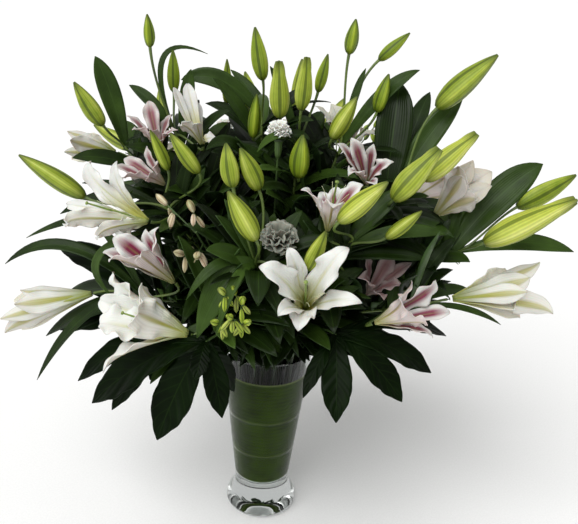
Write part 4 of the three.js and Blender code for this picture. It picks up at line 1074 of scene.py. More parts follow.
@dataclass(frozen=True)
class LilyLeaf(Finish):
    """A lily's stem leaf."""

    # shade and lit are painted shade and painted light; body is the leaf's own green
    shade: int = 0x050A02
    body: int = 0x1A2A0A
    lit: int = 0x4C6826
    vein: int = 0x3E5A22
    veins: float = 15

    # A fresh oriental lily leaf with a thin waxy skin. The parallel veins stand up a little, so the sky's
    # reflection breaks into long bluish-grey streaks beside a groove down the middle, and the rest stays
    # nearly black green. Each leaf's tone, with blotches over it, sets its colour on a ramp from painted
    # shade, near black, through its own green to painted light, a lit lime. The real veins are 1 mm apart
    # and are drawn 2 mm apart, as they would not show.
    def dress(self, add: Adder) -> Feeds:
        """Draws the veins, the midrib, and each leaf's painted shade and painted light, set by its tone."""
        uv = add("UVMap", uv_map="UVMap")
        across = add("SeparateXYZ", [uv])
        veins = add("TexWave", {"Vector": uv, "Scale": WAVE * self.veins, "Distortion": 0.3}, "Fac")
        rib = add("ValToRGB", [across], stops=((0.465, 0), (0.5, 1), (0.535, 0)))
        spot = add("TexCoord", pick="Object")
        patches = add("TexNoise", {"Vector": spot, "Scale": 1 / (35 * MM), "Detail": 3.0})
        # painted shade and painted light: the leaf's tone and the blotches set it between shade, body and lit
        tone = add("Attribute", pick="Fac", attribute_name="tone")
        share = add("Math", [patches, 0.5, tone], operation="MULTIPLY_ADD")
        skin = add("ValToRGB", [share], stops=((0.1, self.shade), (0.4, self.body), (1, self.lit)))
        faint = add("Math", [veins, 0.12], operation="MULTIPLY")
        lined = add("Mix", {0: faint, 6: skin, 7: self.vein}, 2, data_type="RGBA")
        pale = add("Math", [rib, 0.4], operation="MULTIPLY")
        relief = add("Math", [veins, rib], operation="SUBTRACT")
        return {
            "Base Color": add("Mix", {0: pale, 6: lined, 7: self.vein}, 2, data_type="RGBA"),
            "Roughness": 0.3,
            "Specular IOR Level": 0.16,
            "Normal": add("Bump", {"Distance": 0.14 * MM, "Height": relief}),
        }


@dataclass(frozen=True)
class AraliaLeaf(Finish):
    """A broad palmate leaf."""

    dark: int = 0x040A02
    light: int = 0x0C1B05
    vein: int = 0x1C2E0E
    rough: float = 0.38

    # A fatsia leaf: leathery, with a thick lacquered cuticle. The eye gets a nearly black green with broad
    # soft highlights where the blade swells between its side veins, and a fishbone of paler, sunken veins
    # from a pale midrib.
    def dress(self, add: Adder) -> Feeds:
        """Draws the midrib, the side veins and the swelling between them."""
        uv = add("UVMap", uv_map="UVMap")
        across = add("SeparateXYZ", [uv])
        along = across.node.outputs["Y"]
        rib = add("ValToRGB", [across], stops=((0.48, 0), (0.5, 1), (0.52, 0)))
        off = add("Math", [add("Math", [across, 0.5], operation="SUBTRACT")], operation="ABSOLUTE")
        slant = add("Math", [off, -0.4, along], operation="MULTIPLY_ADD")
        bones = add("TexWave", {"Vector": add("CombineXYZ", [slant]), "Scale": WAVE * 9}, "Fac")
        thin = add("ValToRGB", [bones], stops=((0.93, 0), (1, 0.35)))
        veins = add("Math", [rib, thin], operation="MAXIMUM")
        spot = add("TexCoord", pick="Object")
        patches = add("TexNoise", {"Vector": spot, "Scale": 1 / (45 * MM)})
        skin = add("ValToRGB", [patches], stops=((0.3, self.dark), (0.75, self.light)))
        share = add("Math", [veins, 0.65], operation="MULTIPLY")
        swell = add("Math", [patches, bones], operation="SUBTRACT")
        return {
            "Base Color": add("Mix", {0: share, 6: skin, 7: self.vein}, 2, data_type="RGBA"),
            "Roughness": self.rough,
            "Specular IOR Level": 0.05,
            "Normal": add("Bump", {"Distance": 0.35 * MM, "Height": swell}),
        }


@dataclass(frozen=True)
class Stalk(Finish):
    """A fresh cut stalk."""

    dark: int = 0x2C3E18
    light: int = 0x6E8438
    # low is the painted shade on a main stem's foot
    low: int = 0x121A0A

    # A green stem, snapped clean of its leaves: smooth, with a thin bloom of wax over long fibres, so the
    # eye gets a soft streaky green that is lighter on one side. A main stem's foot, from inside the vase to
    # a little above its mouth, is painted nearly black green: painted shade.
    def dress(self, add: Adder) -> Feeds:
        """Draws fibres along it, patches between two greens and the painted shade on a main stem's foot."""
        uv = add("UVMap", uv_map="UVMap")
        fibres = add("TexWave", {"Vector": uv, "Scale": WAVE * 9, "Distortion": 0.5}, "Fac")
        spot = add("TexCoord", pick="Object")
        patches = add("TexNoise", {"Vector": spot, "Scale": 1 / (40 * MM)})
        share = add("Math", [fibres, 0.2, patches], operation="MULTIPLY_ADD")
        skin = add("ValToRGB", [share], stops=((0.3, self.dark), (0.9, self.light)))
        # painted shade: a main stem darkens from a little above the vase's mouth down to its foot
        foot = add("ValToRGB", [add("SeparateXYZ", [uv], "Y")], stops=((0.28, 0.9), (0.42, 0)))
        tone = add("Attribute", pick="Fac", attribute_name="tone")
        dim = add("Math", [foot, tone], operation="MULTIPLY")
        return {
            "Base Color": add("Mix", {0: dim, 6: skin, 7: self.low}, 2, data_type="RGBA"),
            "Roughness": 0.42,
            "Normal": add("Bump", {"Distance": 0.1 * MM, "Height": fibres}),
        }


@dataclass(frozen=True)
class BudSkin(Finish):
    """A closed lily."""

    green: int = 0x748A16
    ripe: int = 0xC8D050
    crest: int = 0x9CAE2A
    ripe_crest: int = 0xE4E688
    seam: int = 0x44560A
    ripe_seam: int = 0x828F24
    tip: int = 0x3C4C16
    tip_share: float = 0.8

    # A closed oriental lily: three outer petals that meet edge to edge, with a velvety skin over green
    # flesh. The eye gets three pale ridges, a dark seam between each two, fine long fibres, a darker tip
    # and foot, and a skin that goes from olive lime to cream as it ripens.
    def dress(self, add: Adder) -> Feeds:
        """Draws ridges, seams, fibres and the dark ends, from green to ripe by the bud's tone."""
        uv = add("UVMap", uv_map="UVMap")
        along = add("SeparateXYZ", [uv], "Y")
        seams = add("TexWave", {"Vector": uv, "Scale": WAVE * 3}, "Fac")
        fibres = add("TexWave", {"Vector": uv, "Scale": WAVE * 24, "Distortion": 0.8}, "Fac")
        spot = add("TexCoord", pick="Object")
        patches = add("TexNoise", {"Vector": spot, "Scale": 1 / (14 * MM), "Detail": 3.0})
        hues = self.crest, self.green, self.green, self.seam
        ripe_hues = self.ripe_crest, self.ripe, self.ripe, self.ripe_seam
        greens, ripes = (
            add("ValToRGB", [seams], stops=zip((0, 0.2, 0.84, 0.98), own))
            for own in (hues, ripe_hues)
        )
        tone = add("Attribute", pick="Fac", attribute_name="tone")
        uneven = add("Math", [patches, 0.5], operation="SUBTRACT")
        drift = add("Math", [uneven, 0.5, tone], operation="MULTIPLY_ADD")
        skin = add("Mix", {0: drift, 6: greens, 7: ripes}, 2, data_type="RGBA")
        faint = add("Math", [fibres, 0.3], operation="MULTIPLY")
        streaked = add("Mix", {0: faint, 6: skin, 7: self.seam}, 2, data_type="RGBA")
        dim = self.tip_share
        ends = add("ValToRGB", [along], stops=((0, dim * 0.8), (0.2, 0), (0.78, 0), (0.99, dim)))
        return {
            "Base Color": add("Mix", {0: ends, 6: streaked, 7: self.tip}, 2, data_type="RGBA"),
            "Roughness": 0.46,
            "Specular IOR Level": 0.3,
            "Subsurface Weight": 0.06,
            "Subsurface Scale": 0.004,
            "Normal": add("Bump", {"Distance": 0.15 * MM, "Height": fibres}),
        }


@dataclass(frozen=True)
class PetalFace(Finish):
    """The inside of a petal."""

    edge: int = 0xE0E0DB
    heart: int = 0xBAB93E
    flush: int = 0xE0E0DB
    spot: int = 0xE0E0DB
    # a fading flower's brownish mauve, which also paints shade on a bloom in the shade
    fade_and_shade: int = 0x9C7C7A
    throat: float = 0.46

    # An oriental lily's inner face: a skin of rounded cells on soft flesh, so light goes a little way in
    # and comes back, and the face is satin. The eye gets fine ribs along it, a groove that is yellow-green
    # from the throat on, and in the pink kind a crimson flush beside the groove with dark spots, which
    # stops well inside a white margin.
    def dress(self, add: Adder) -> Feeds:
        """Draws the ribs, the throat, the flush and its spots, and by the tone the mauve of a fading flower,
        which also stands as painted shade on a bloom in the shade.
        """
        uv = add("UVMap", uv_map="UVMap")
        across = add("SeparateXYZ", [uv])
        along = across.node.outputs["Y"]
        ribs = add("TexWave", {"Vector": uv, "Scale": WAVE * 13, "Distortion": 0.4}, "Fac")
        broad = add("ValToRGB", [across], stops=((0.16, 0), (0.36, 1), (0.64, 1), (0.84, 0)))
        length = add("ValToRGB", [along], stops=((0.04, 0.5), (0.16, 1), (0.6, 1), (0.86, 0)))
        blush = add("Math", [broad, length], operation="MULTIPLY")
        flushed = add("Mix", {0: blush, 6: self.edge, 7: self.flush}, 2, data_type="RGBA")
        stretch = add("Mapping", {"Vector": uv, "Scale": (12, 22, 1)})
        dots = add("TexVoronoi", {"Vector": stretch, "Scale": 1.0})
        specks = add("ValToRGB", [dots], stops=((0.12, 0.8), (0.2, 0)))
        near = add("Math", [specks, blush], operation="MULTIPLY")
        spotted = add("Mix", {0: near, 6: flushed, 7: self.spot}, 2, data_type="RGBA")
        groove = add("ValToRGB", [across], stops=((0.4, 0), (0.5, 1), (0.6, 0)))
        down = add("ValToRGB", [along], stops=((0.3, 0.75), (0.8, 0)))
        throat = add("ValToRGB", [along], stops=((self.throat * 0.35, 0.9), (self.throat, 0)))
        stripe = add("Math", [groove, down], operation="MULTIPLY")
        green = add("Math", [stripe, throat], operation="MAXIMUM")
        fresh = add("Mix", {0: green, 6: spotted, 7: self.heart}, 2, data_type="RGBA")
        tone = add("Attribute", pick="Fac", attribute_name="tone")
        relief = add("Math", [add("Math", [ribs, 0.4], operation="MULTIPLY"), groove], operation="SUBTRACT")
        return {
            # the tone mixes in a fading flower's mauve, partly painted shade
            "Base Color": add("Mix", {0: tone, 6: fresh, 7: self.fade_and_shade}, 2, data_type="RGBA"),
            "Roughness": 0.5,
            "Subsurface Weight": 0.08,
            "Subsurface Scale": 0.005,
            "Normal": add("Bump", {"Distance": 0.45 * MM, "Height": relief}),
        }


@dataclass(frozen=True)
class PetalBack(Finish):
    """The outside of a petal."""

    edge: int = 0xDCDAD1
    keel: int = 0x96963A
    foot: int = 0xA2AC52
    # a fading flower's brownish mauve, which also paints shade on a bloom in the shade
    fade_and_shade: int = 0xBBA2A2
    keel_half: float = 0.09
    keel_end: float = 0.25

    # The outer face is matter and a little greyer. The eye gets a raised keel down its middle, olive yellow
    # towards the stalk, fine shaded ribs beside it and a green foot where the petals join.
    def dress(self, add: Adder) -> Feeds:
        """Draws the keel, the ribs and the foot."""
        uv = add("UVMap", uv_map="UVMap")
        across = add("SeparateXYZ", [uv])
        along = across.node.outputs["Y"]
        ribs = add("TexWave", {"Vector": uv, "Scale": WAVE * 11, "Distortion": 0.4}, "Fac")
        half, core = self.keel_half, self.keel_half * 0.4
        marks = (0.5 - half, 0), (0.5 - core, 1), (0.5 + core, 1), (0.5 + half, 0)
        keel = add("ValToRGB", [across], stops=marks)
        down = add("ValToRGB", [along], stops=((0.35, 0.9), (0.95, self.keel_end)))
        stripe = add("Math", [keel, down], operation="MULTIPLY")
        foot = add("ValToRGB", [along], stops=((0.06, 0.9), (0.4, 0)))
        fine = add("Math", [ribs, 0.07, stripe], operation="MULTIPLY_ADD")
        lined = add("Mix", {0: fine, 6: self.edge, 7: self.keel}, 2, data_type="RGBA")
        footed = add("Mix", {0: foot, 6: lined, 7: self.foot}, 2, data_type="RGBA")
        tone = add("Attribute", pick="Fac", attribute_name="tone")
        relief = add("Math", [ribs, 0.35, keel], operation="MULTIPLY_ADD")
        return {
            # the tone mixes in a fading flower's mauve, partly painted shade
            "Base Color": add("Mix", {0: tone, 6: footed, 7: self.fade_and_shade}, 2, data_type="RGBA"),
            "Roughness": 0.55,
            "Subsurface Weight": 0.1,
            "Subsurface Scale": 0.005,
            "Normal": add("Bump", {"Distance": 0.45 * MM, "Height": relief}),
        }


@dataclass(frozen=True)
class MoistThread(Finish):
    """A filament or a pistil."""

    base: int = 0xDDDFC4
    drift: int = 0xC2C894

    # The threads inside a lily are smooth, moist and pale green. They are a few millimetres wide, so
    # the eye gets little but their colour, which drifts along them, and a soft shine.
    def dress(self, add: Adder) -> Feeds:
        """Draws grain that drifts between two colours."""
        spot = add("TexCoord", pick="Object")
        grain = add("TexNoise", {"Vector": spot, "Scale": 1 / (4 * MM), "Detail": 3.0})
        return {
            "Base Color": add("ValToRGB", [grain], stops=((0.35, self.base), (0.65, self.drift))),
            "Roughness": 0.5,
            "Normal": add("Bump", {"Distance": 0.08 * MM, "Height": grain}),
        }


@dataclass(frozen=True)
class FrilledPetal(Finish):
    """A carnation petal."""

    edge: int = 0xF1F0EA
    # low is painted shade deep in the head, over the petals' own green foot
    low: int = 0xA8AE96
    # a grey that paints a head in the shade
    shade_grey: int = 0x84887A

    # A carnation's petal: thin as tissue and matt, with veins that fan out to a frill. Its colour runs from
    # a greenish grey deep in the head, partly the petals' own green foot and partly painted shade for the
    # little light that comes out from between the layers, to soft white edges. A head's tone paints it grey
    # all over: painted shade.
    def dress(self, add: Adder) -> Feeds:
        """Draws the fanned veins, the painted shade of the depths and the painted grey of a head in the
        shade.
        """
        uv = add("UVMap", uv_map="UVMap")
        along = add("SeparateXYZ", [uv], "Y")
        veins = add("TexWave", {"Vector": uv, "Scale": WAVE * 9, "Distortion": 1.0}, "Fac")
        # from painted shade deep in the head to the white edge
        skin = add("ValToRGB", [along], stops=((0.3, self.low), (0.85, self.edge)))
        tone = add("Attribute", pick="Fac", attribute_name="tone")
        return {
            # painted shade: the tone greys a head in the shade
            "Base Color": add("Mix", {0: tone, 6: skin, 7: self.shade_grey}, 2, data_type="RGBA"),
            "Roughness": 0.7,
            "Subsurface Weight": 0.1,
            "Subsurface Scale": 0.004,
            "Normal": add("Bump", {"Distance": 0.2 * MM, "Height": veins}),
        }


@dataclass(frozen=True)
class Paper(Finish):
    """The studio's floor."""

    white: int = 0xFDFDFC
    fibre: int = 0xF9F9F8

    # Matt backdrop paper: the eye gets an even white that fades at the shadow's edge.
    def dress(self, add: Adder) -> Feeds:
        """Draws the faint cloud of its fibres."""
        spot = add("TexCoord", pick="Object")
        cloud = add("TexNoise", {"Vector": spot, "Scale": 1 / (3 * MM)})
        return {
            "Base Color": add("ValToRGB", [cloud], stops=((0.4, self.fibre), (0.6, self.white))),
            "Roughness": 0.8,
        }


class Palette:
    """Every finish, made once."""

    def __init__(self) -> None:
        """Makes the materials."""
        self.glass = Clear("soda_lime_glass_fire_polished").build()
        self.water = Clear("vase_water_clear", tint=0xEEF4EC, ior=1.333).build()
        self.liner = RolledLeaf("aspidistra_leaf_rolled").build()
        self.leaf = LilyLeaf("lily_leaf_waxy").build()
        self.leaf_under = LilyLeaf(
            "lily_leaf_underside_matt", shade=0x141F10, body=0x2C4222, lit=0x5B7A38
        ).build()
        self.palm = AraliaLeaf("fatsia_leaf_lacquered").build()
        self.palm_under = AraliaLeaf(
            "fatsia_leaf_underside", dark=0x10190C, light=0x263A1B, rough=0.5
        ).build()
        self.stem = Stalk("lily_stem_cut").build()
        self.slim = Stalk("slim_stem_cut", dark=0x26381A, light=0x5E7A40).build()
        self.bud = BudSkin("lily_bud_velvety").build()
        self.sprig = BudSkin(
            "alstroemeria_bud_smooth", green=0x9FB632, ripe=0xE2C8B0, crest=0xC0CE5C, ripe_crest=0xEEDFD0,
            ripe_seam=0xB4947C, tip=0x5C6E2A, tip_share=0.4,
        ).build()
        self.faces = {
            Kind.WHITE: PetalFace("lily_petal_white_satin").build(),
            Kind.CREAM: PetalFace("lily_petal_cream_satin", edge=0xDFDCCB, heart=0xAFB042).build(),
            Kind.PINK: PetalFace(
                "lily_petal_pink_satin", heart=0x8E924A, flush=0x7E0F40, spot=0x460624, throat=0.22
            ).build(),
        }
        self.backs = {
            Kind.WHITE: PetalBack("lily_petal_white_outer").build(),
            Kind.CREAM: PetalBack(
                "lily_petal_cream_outer", edge=0xDAD9D2, keel=0x9C9A24, foot=0x86923A,
                keel_half=0.2, keel_end=0.42,
            ).build(),
            Kind.PINK: PetalBack(
                "lily_petal_pink_outer", edge=0xDCD0CD, keel=0x8F843C, foot=0xA2A450
            ).build(),
        }
        self.filament = MoistThread("lily_filament_moist").build()
        self.pistil = MoistThread("lily_pistil_moist", base=0x5E7A34, drift=0x8A9C4C).build()
        self.carnation = FrilledPetal("carnation_petal_matt").build()
        self.floor = Paper("studio_paper_matt").build()


# The vase
@dataclass
class Vase:
    """The glass, the rolled leaves that line it, and the water."""

    sizes: VaseSizes
    palette: Palette
    sharp: float = 35

    def turned(self, outline: Sequence[Pair], closed: bool) -> Work:
        """Spins an outline round the vase's axis.

        Args:
            outline: Radii and heights, in order.
            closed: Whether the outline closes on itself, rather than ending on the axis.

        Returns:
            The spun piece.
        """
        work = Work()
        bm = work.bm
        points = [bm.verts.new((radius, 0, height)) for radius, height in outline]
        pairs = zip(points, points[1:] + points[:1] if closed else points[1:])
        geom = [*points, *(bm.edges.new(pair) for pair in pairs)]
        steps = self.sizes.facets
        bmesh.ops.spin(bm, geom=geom, cent=(0, 0, 0), axis=UP, angle=tau, steps=steps, use_merge=True)
        bmesh.ops.remove_doubles(bm, verts=bm.verts, dist=0.001)
        heights = [height for _, height in outline]
        wrap(bm, bm.loops.layers.uv.verify(), min(heights), max(heights))
        return work

    def glass(self) -> None:
        """Makes the vase itself: underside, foot, waist, flank and rim, and the bore down to its floor."""
        s = self.sizes
        edge, stand, lip = s.foot - s.foot_edge, s.foot - s.stand, s.wall / 2
        outline = [(0, s.hollow), (stand * 0.8, s.hollow * 0.8), (stand - 3, s.hollow * 0.2), (stand, 0)]
        quarter = [pi / 12 * i for i in range(1, 7)]
        outline += [
            (edge + s.foot_edge * sin(a), s.foot_edge - s.foot_edge * cos(a)) for a in quarter[1:]
        ]
        climb = ((0, s.foot_edge), (8, 16), (17, 25), (27, 35), (44, s.neck_height))
        waist = ((0, s.foot), (8, s.foot - 1), (17, s.foot - 5), (27, s.foot - 11), (44, s.neck_radius))
        outline += [(smooth(waist, t), smooth(climb, t)) for t in (4, 8, 12.5, 17, 22, 27, 33, 39)]
        top, middle = s.height - lip, s.outside(s.height) - lip
        outline += [(s.outside(z), z) for z in s.climb(s.neck_height, top)]
        half = [pi / 6 * i for i in range(1, 6)]
        outline += [(middle + lip * cos(a), top + lip * sin(a)) for a in half]
        bottom = s.floor + s.corner
        outline += [(s.inside(z), z) for z in reversed(s.climb(bottom, top))]
        heel = s.inside(bottom) - s.corner
        outline += [(heel + s.corner * cos(a), bottom - s.corner * sin(a)) for a in quarter]
        outline += [(heel - 1, s.floor), (heel - 4, s.floor), (heel / 2, s.floor), (0, s.floor)]
        self.turned(outline, closed=False).piece(
            "vase_footed_glass", [self.palette.glass], "vase_glass", "clear_glass", sharp=self.sharp
        )

    def liner(self) -> None:
        """Makes the liner's bands, wet against the glass, each tucked in under the one above it.

        Their outsides lie just inside the glass's inner face, as a film of water leaves no air between.
        """
        s = self.sizes
        step = (s.liner_top - s.liner_bottom) / s.bands
        for index in range(s.bands):
            low = s.liner_bottom + index * step - (s.liner_lap if index else 0) + s.liner_tuck
            high = s.liner_bottom + (index + 1) * step
            lap = high - s.liner_lap
            under = 0 if index == s.bands - 1 else s.liner_thick + s.gap
            tuck = ((lap, -s.wet), (lap + s.liner_tuck, under - s.wet))
            heights = sorted([*s.climb(low, high), lap, lap + s.liner_tuck])
            outer = [(s.inside(z) - smooth(tuck, z), z) for z in heights]
            inner = [(radius - s.liner_thick, z) for radius, z in reversed(outer)]
            name, node = f"rolled_leaf_{index + 1}", f"liner_leaf_{index + 1}"
            self.turned([*outer, *inner], closed=True).piece(
                name, [self.palette.liner], node, "liner_leaf", sharp=self.sharp
            )

    def water(self) -> None:
        """Makes the water, which fills the lined bore."""
        s = self.sizes
        inset = s.bands * (s.liner_thick + s.gap) + s.gap
        low, heel = s.floor + s.gap, 8
        outline = [(0, low), (s.inside(low) - inset - 4, low)]
        outline += [(s.inside(z) - inset, z) for z in s.climb(low + heel, s.water_top)]
        outline += [(0, s.water_top)]
        self.turned(outline, closed=False).piece(
            "water_clear", [self.palette.water], "water", "water", sharp=self.sharp
        )

    def build(self) -> None:
        """Makes all of it."""
        self.glass()
        self.liner()
        self.water()


# Where the pieces lie
class Frame:
    """Where the frame's nodes were bent to, told by their corners."""

    near: float = 0.05  # how close to a corner a place must lie, in millimetres

    def __init__(self) -> None:
        """Reads the corners of every node, in millimetres."""
        self.corners: dict[str, KDTree] = {}
        for name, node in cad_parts.items():
            tree = KDTree(len(node.data.vertices))
            for index, vert in enumerate(node.data.vertices):
                tree.insert(vert.co / MM, index)
            tree.balance()
            self.corners[name] = tree

    def shift(self, node: str, probe: Callable[[float], Vector], reach: int = 31) -> float:
        """Finds how far along the line of sight a piece was bent.

        Args:
            node: The node that holds it.
            probe: Gives where one of its corners lies for a shift.
            reach: How many steps either way are tried.

        Returns:
            The shift, or 0 where none fits.
        """
        for step in sorted(range(-reach, reach + 1), key=abs):
            if self.corners[node].find(probe(step * SHIFT_STEP))[2] < self.near:
                return step * SHIFT_STEP
        LOG.warning("%s: a piece's place was not found", node)
        return 0


FRAME = Frame()


def outward(place: Vector) -> Vector:
    """The direction in which the bouquet opens out at a place."""
    return (place - UP * (SIZES.height * STEM.opens_at)).normalized()


def deal(stems: Sequence[Stem]) -> None:
    """Stands the stems on the vase's floor and bends each to its head.

    Those that lean most stand in the outer ring, and each ring is dealt round by the way its stems lean.

    Args:
        stems: The stems, whose feet, mouths and upper bends are set.
    """
    order = sorted(stems, key=lambda s: hypot(s.head.x, s.head.y) / (s.head.z - SIZES.neck_height))
    for count, radius in STEM.rings:
        own = sorted(order[:count], key=lambda s: atan2(s.head.y, s.head.x))
        order = order[count:]
        if not own:
            break
        step = tau / len(own)
        excess = [atan2(s.head.y, s.head.x) - j * step for j, s in enumerate(own)]
        start = atan2(sum(map(sin, excess)), sum(map(cos, excess)))
        for j, stem in enumerate(own):
            way = Vector((cos(start + j * step), sin(start + j * step), 0)) * radius
            stem.foot = way + UP * (SIZES.floor + 2 * SIZES.gap + STEM.lift)
            stem.mouth = way * STEM.spread + UP * SIZES.height
            rise = (stem.mouth - stem.foot).normalized()
            span = (stem.head - stem.mouth).length
            bent = mix(stem.mouth, stem.head, STEM.bend) + UP * (span * stem.arch)
            stem.upper = Bend(stem.mouth, stem.mouth + rise * (span * STEM.straight), bent, stem.head)


# Leaves
@dataclass
class LeafForm:
    """How a lily leaf is bent from its straight blade."""

    root: Vector
    tip: Vector
    wide: float
    bow: float = 0.12
    face: float = 0.55
    twist: float = 0
    phase: float = 0
    lean: float = 0
    gutter: float = 0.26
    sunk: float = 0.08
    wave: float = 0.06
    waves: float = 1.4
    skew: float = 0.8
    bends: Pair = (0.33, 0.7)
    outline: Outline = ((0, 0.22), (0.12, 0.5), (0.34, 0.88), (0.55, 1), (0.74, 0.84), (0.9, 0.42), (1, 0.02))

    def line(self) -> Bend:
        """The line that the leaf's middle follows."""
        root, tip = self.root, self.tip
        lift = Vector((-self.lean, 0, self.bow)) * (tip - root).length
        return Bend(root, *(mix(root, tip, share) + lift for share in self.bends), tip)

    def place(self) -> Place:
        """Gives the function that bends the straight blade."""
        up = EYE.facing(self.tip, self.face)

        def section(s: float, t: float) -> Pair:
            """A shallow gutter, a little turned and waved towards its edges."""
            wave = self.wave * sin(tau * (self.waves * t) + self.phase + self.skew * s) * abs(s)
            return s, self.gutter * abs(s) ** 1.25 - self.sunk + wave + self.twist * s * t

        return along_blade(self.line(), up.cross, lambda t: self.wide / 2 * smooth(self.outline, t), section)


# Stems
@dataclass
class Standing:
    """A stem that stands in the vase, and the main piece that it carries: buds, a blade or a head."""

    stem: Stem
    palette: Palette
    rng: random.Random
    _: KW_ONLY
    body: Work = field(default_factory=Work)
    stalks: Work = field(default_factory=Work)
    mouth_share: float = 0.3

    def stand(self) -> None:
        """Makes the stem itself, from its foot in the water to its head."""
        stem, low = self.stem, self.mouth_share
        radius = STEM.slim if stem.slim else STEM.radius

        def point(t: float) -> Vector:
            """The stem's middle: straight to the mouth and bent from there on."""
            if t < low:
                return mix(stem.foot, stem.mouth, t / low)
            return stem.upper.point((t - low) / (1 - low))

        def tangent(t: float) -> Vector:
            """Its direction."""
            return stem.upper.tangent(max(t - low, 0) / (1 - low))

        place = along_rod(point, tangent, lambda t: radius * STEM.trim * (1 - STEM.taper * t))
        # tone 1 gives the stem the painted shade on its foot
        self.stalks.add(straight_rod(10, 40), place, tone=1)


@dataclass
class LilyStem(Standing):
    """One leafy stem with its stalks, buds and leaves."""

    leaf_thick: float = 0.7
    leaf_faces: tuple[int, int] = (6, 18)
    leaf_twist: float = 0.15
    sag: float = 0.03
    sunk: float = 2
    keels: int = 3
    keel: float = 0.08
    crest: float = 0.05
    parting: float = 0.5
    parts_at: float = 0.76
    bud_outline: Outline = (
        (0, 0.3), (0.05, 0.58), (0.15, 0.82), (0.33, 0.98), (0.55, 0.9), (0.76, 0.62), (0.9, 0.36), (1, 0.12),
    )
    parted_outline: Outline = (
        (0, 0.3), (0.05, 0.56), (0.15, 0.8), (0.34, 0.96), (0.56, 0.84), (0.76, 0.6), (0.9, 0.42), (1, 0.24),
    )
    leaves: Work = field(default_factory=Work)

    def stalk(self, start: float, base: Vector, axis: Vector) -> None:
        """Makes the short stalk of a bud or a bloom, a little fuller at both ends.

        Args:
            start: Where on the stem it grows.
            base: Where it ends.
            axis: The way that it faces there.
        """
        upper, grown = self.stem.upper, STEM.stalk_end - STEM.stalk
        root = upper.point(start)
        span = (root - base).length
        leave = ((base - root).normalized() + upper.tangent(start)).normalized()
        low, high = (span * share for share in STEM.stalk_bends)
        line = Bend(root, root + leave * low, base - axis * high, base)

        def radius(t: float) -> float:
            """Half its thickness."""
            return STEM.stalk + grown * t**6 + STEM.stalk_root * (1 - t) ** 8

        self.stalks.add(straight_rod(8, 14), along_rod(line.point, line.tangent, radius))

    def bud(self, bud: Bud) -> None:
        """Makes one bud with its stalk.

        Args:
            bud: Where it is and how ripe.
        """
        s = FRAME.shift(self.stem.name, lambda shift: moved(bud.tip, shift))
        base, tip = moved(bud.base, s), moved(bud.tip, s)
        axis = (tip - base).normalized()
        self.stalk(bud.start, base + axis * self.sunk, axis)
        sag = basis(axis)[0] * ((tip - base).length * self.rng.uniform(-self.sag, self.sag))
        line = Bend(base, mix(base, tip, 0.33) + sag, mix(base, tip, 0.66) + sag, tip)
        outline = self.parted_outline if bud.parted else self.bud_outline
        turn = self.rng.uniform(0, tau)

        def swell(angle: float, t: float) -> float:
            """Keels with seams between them, which stand apart where the tips have parted."""
            keel, past = cos(self.keels * (angle + turn)), (t - self.parts_at) / (1 - self.parts_at)
            parting = self.parting * keel * max(0, past) if bud.parted else 0
            return 1 + self.keel * keel * min(1, t * 4) + self.crest * max(keel, 0) ** 10 + parting

        def radius(t: float) -> float:
            """Half the bud's width."""
            return bud.wide / 2 * STEM.trim * smooth(outline, t)

        place = along_rod(line.point, line.tangent, radius, swell)
        self.body.add(straight_rod(30, 20), place, tone=bud.ripe, turn=turn)

    def leaf(self, leaf: Leaf) -> None:
        """Makes one of the leaves that the picture shows.

        Args:
            leaf: Where it is and how it is bent.
        """
        s = 0 if leaf.extra else FRAME.shift(self.stem.name, lambda shift: moved(leaf.tip, shift))
        root, tip = self.stem.upper.point(leaf.start), moved(leaf.tip, s)
        turned, phase = self.rng.uniform(-self.leaf_twist, self.leaf_twist), self.rng.uniform(0, tau)
        form = LeafForm(root, tip, leaf.wide, leaf.bow, leaf.face, turned, phase, leaf.lean)
        self.leaves.add(straight_blade(*self.leaf_faces), form.place(), tone=leaf.tone)

    def build(self) -> None:
        """Makes the stem, the stalks of its blooms, and its buds and leaves."""
        self.stand()
        for bloom in BLOOMS:
            if bloom.stem == self.stem.name:
                self.stalk(bloom.start, *LilyBloom.stance(bloom, LilyBloom.shift(bloom)))
        for bud in self.stem.buds:
            self.bud(bud)
        for leaf in self.stem.leaves:
            self.leaf(leaf)

    def finish(self) -> None:
        """Dresses the pieces."""
        name, palette = self.stem.name, self.palette
        self.stalks.piece(f"{name}_stalks", [palette.stem], name, "lily_green")
        if self.stem.buds:
            self.body.piece(f"{name}_buds", [palette.bud], name, "lily_green")
        skins = [palette.leaf, palette.leaf_under]
        self.leaves.piece(f"{name}_leaves", skins, name, "lily_green", thick=self.leaf_thick)


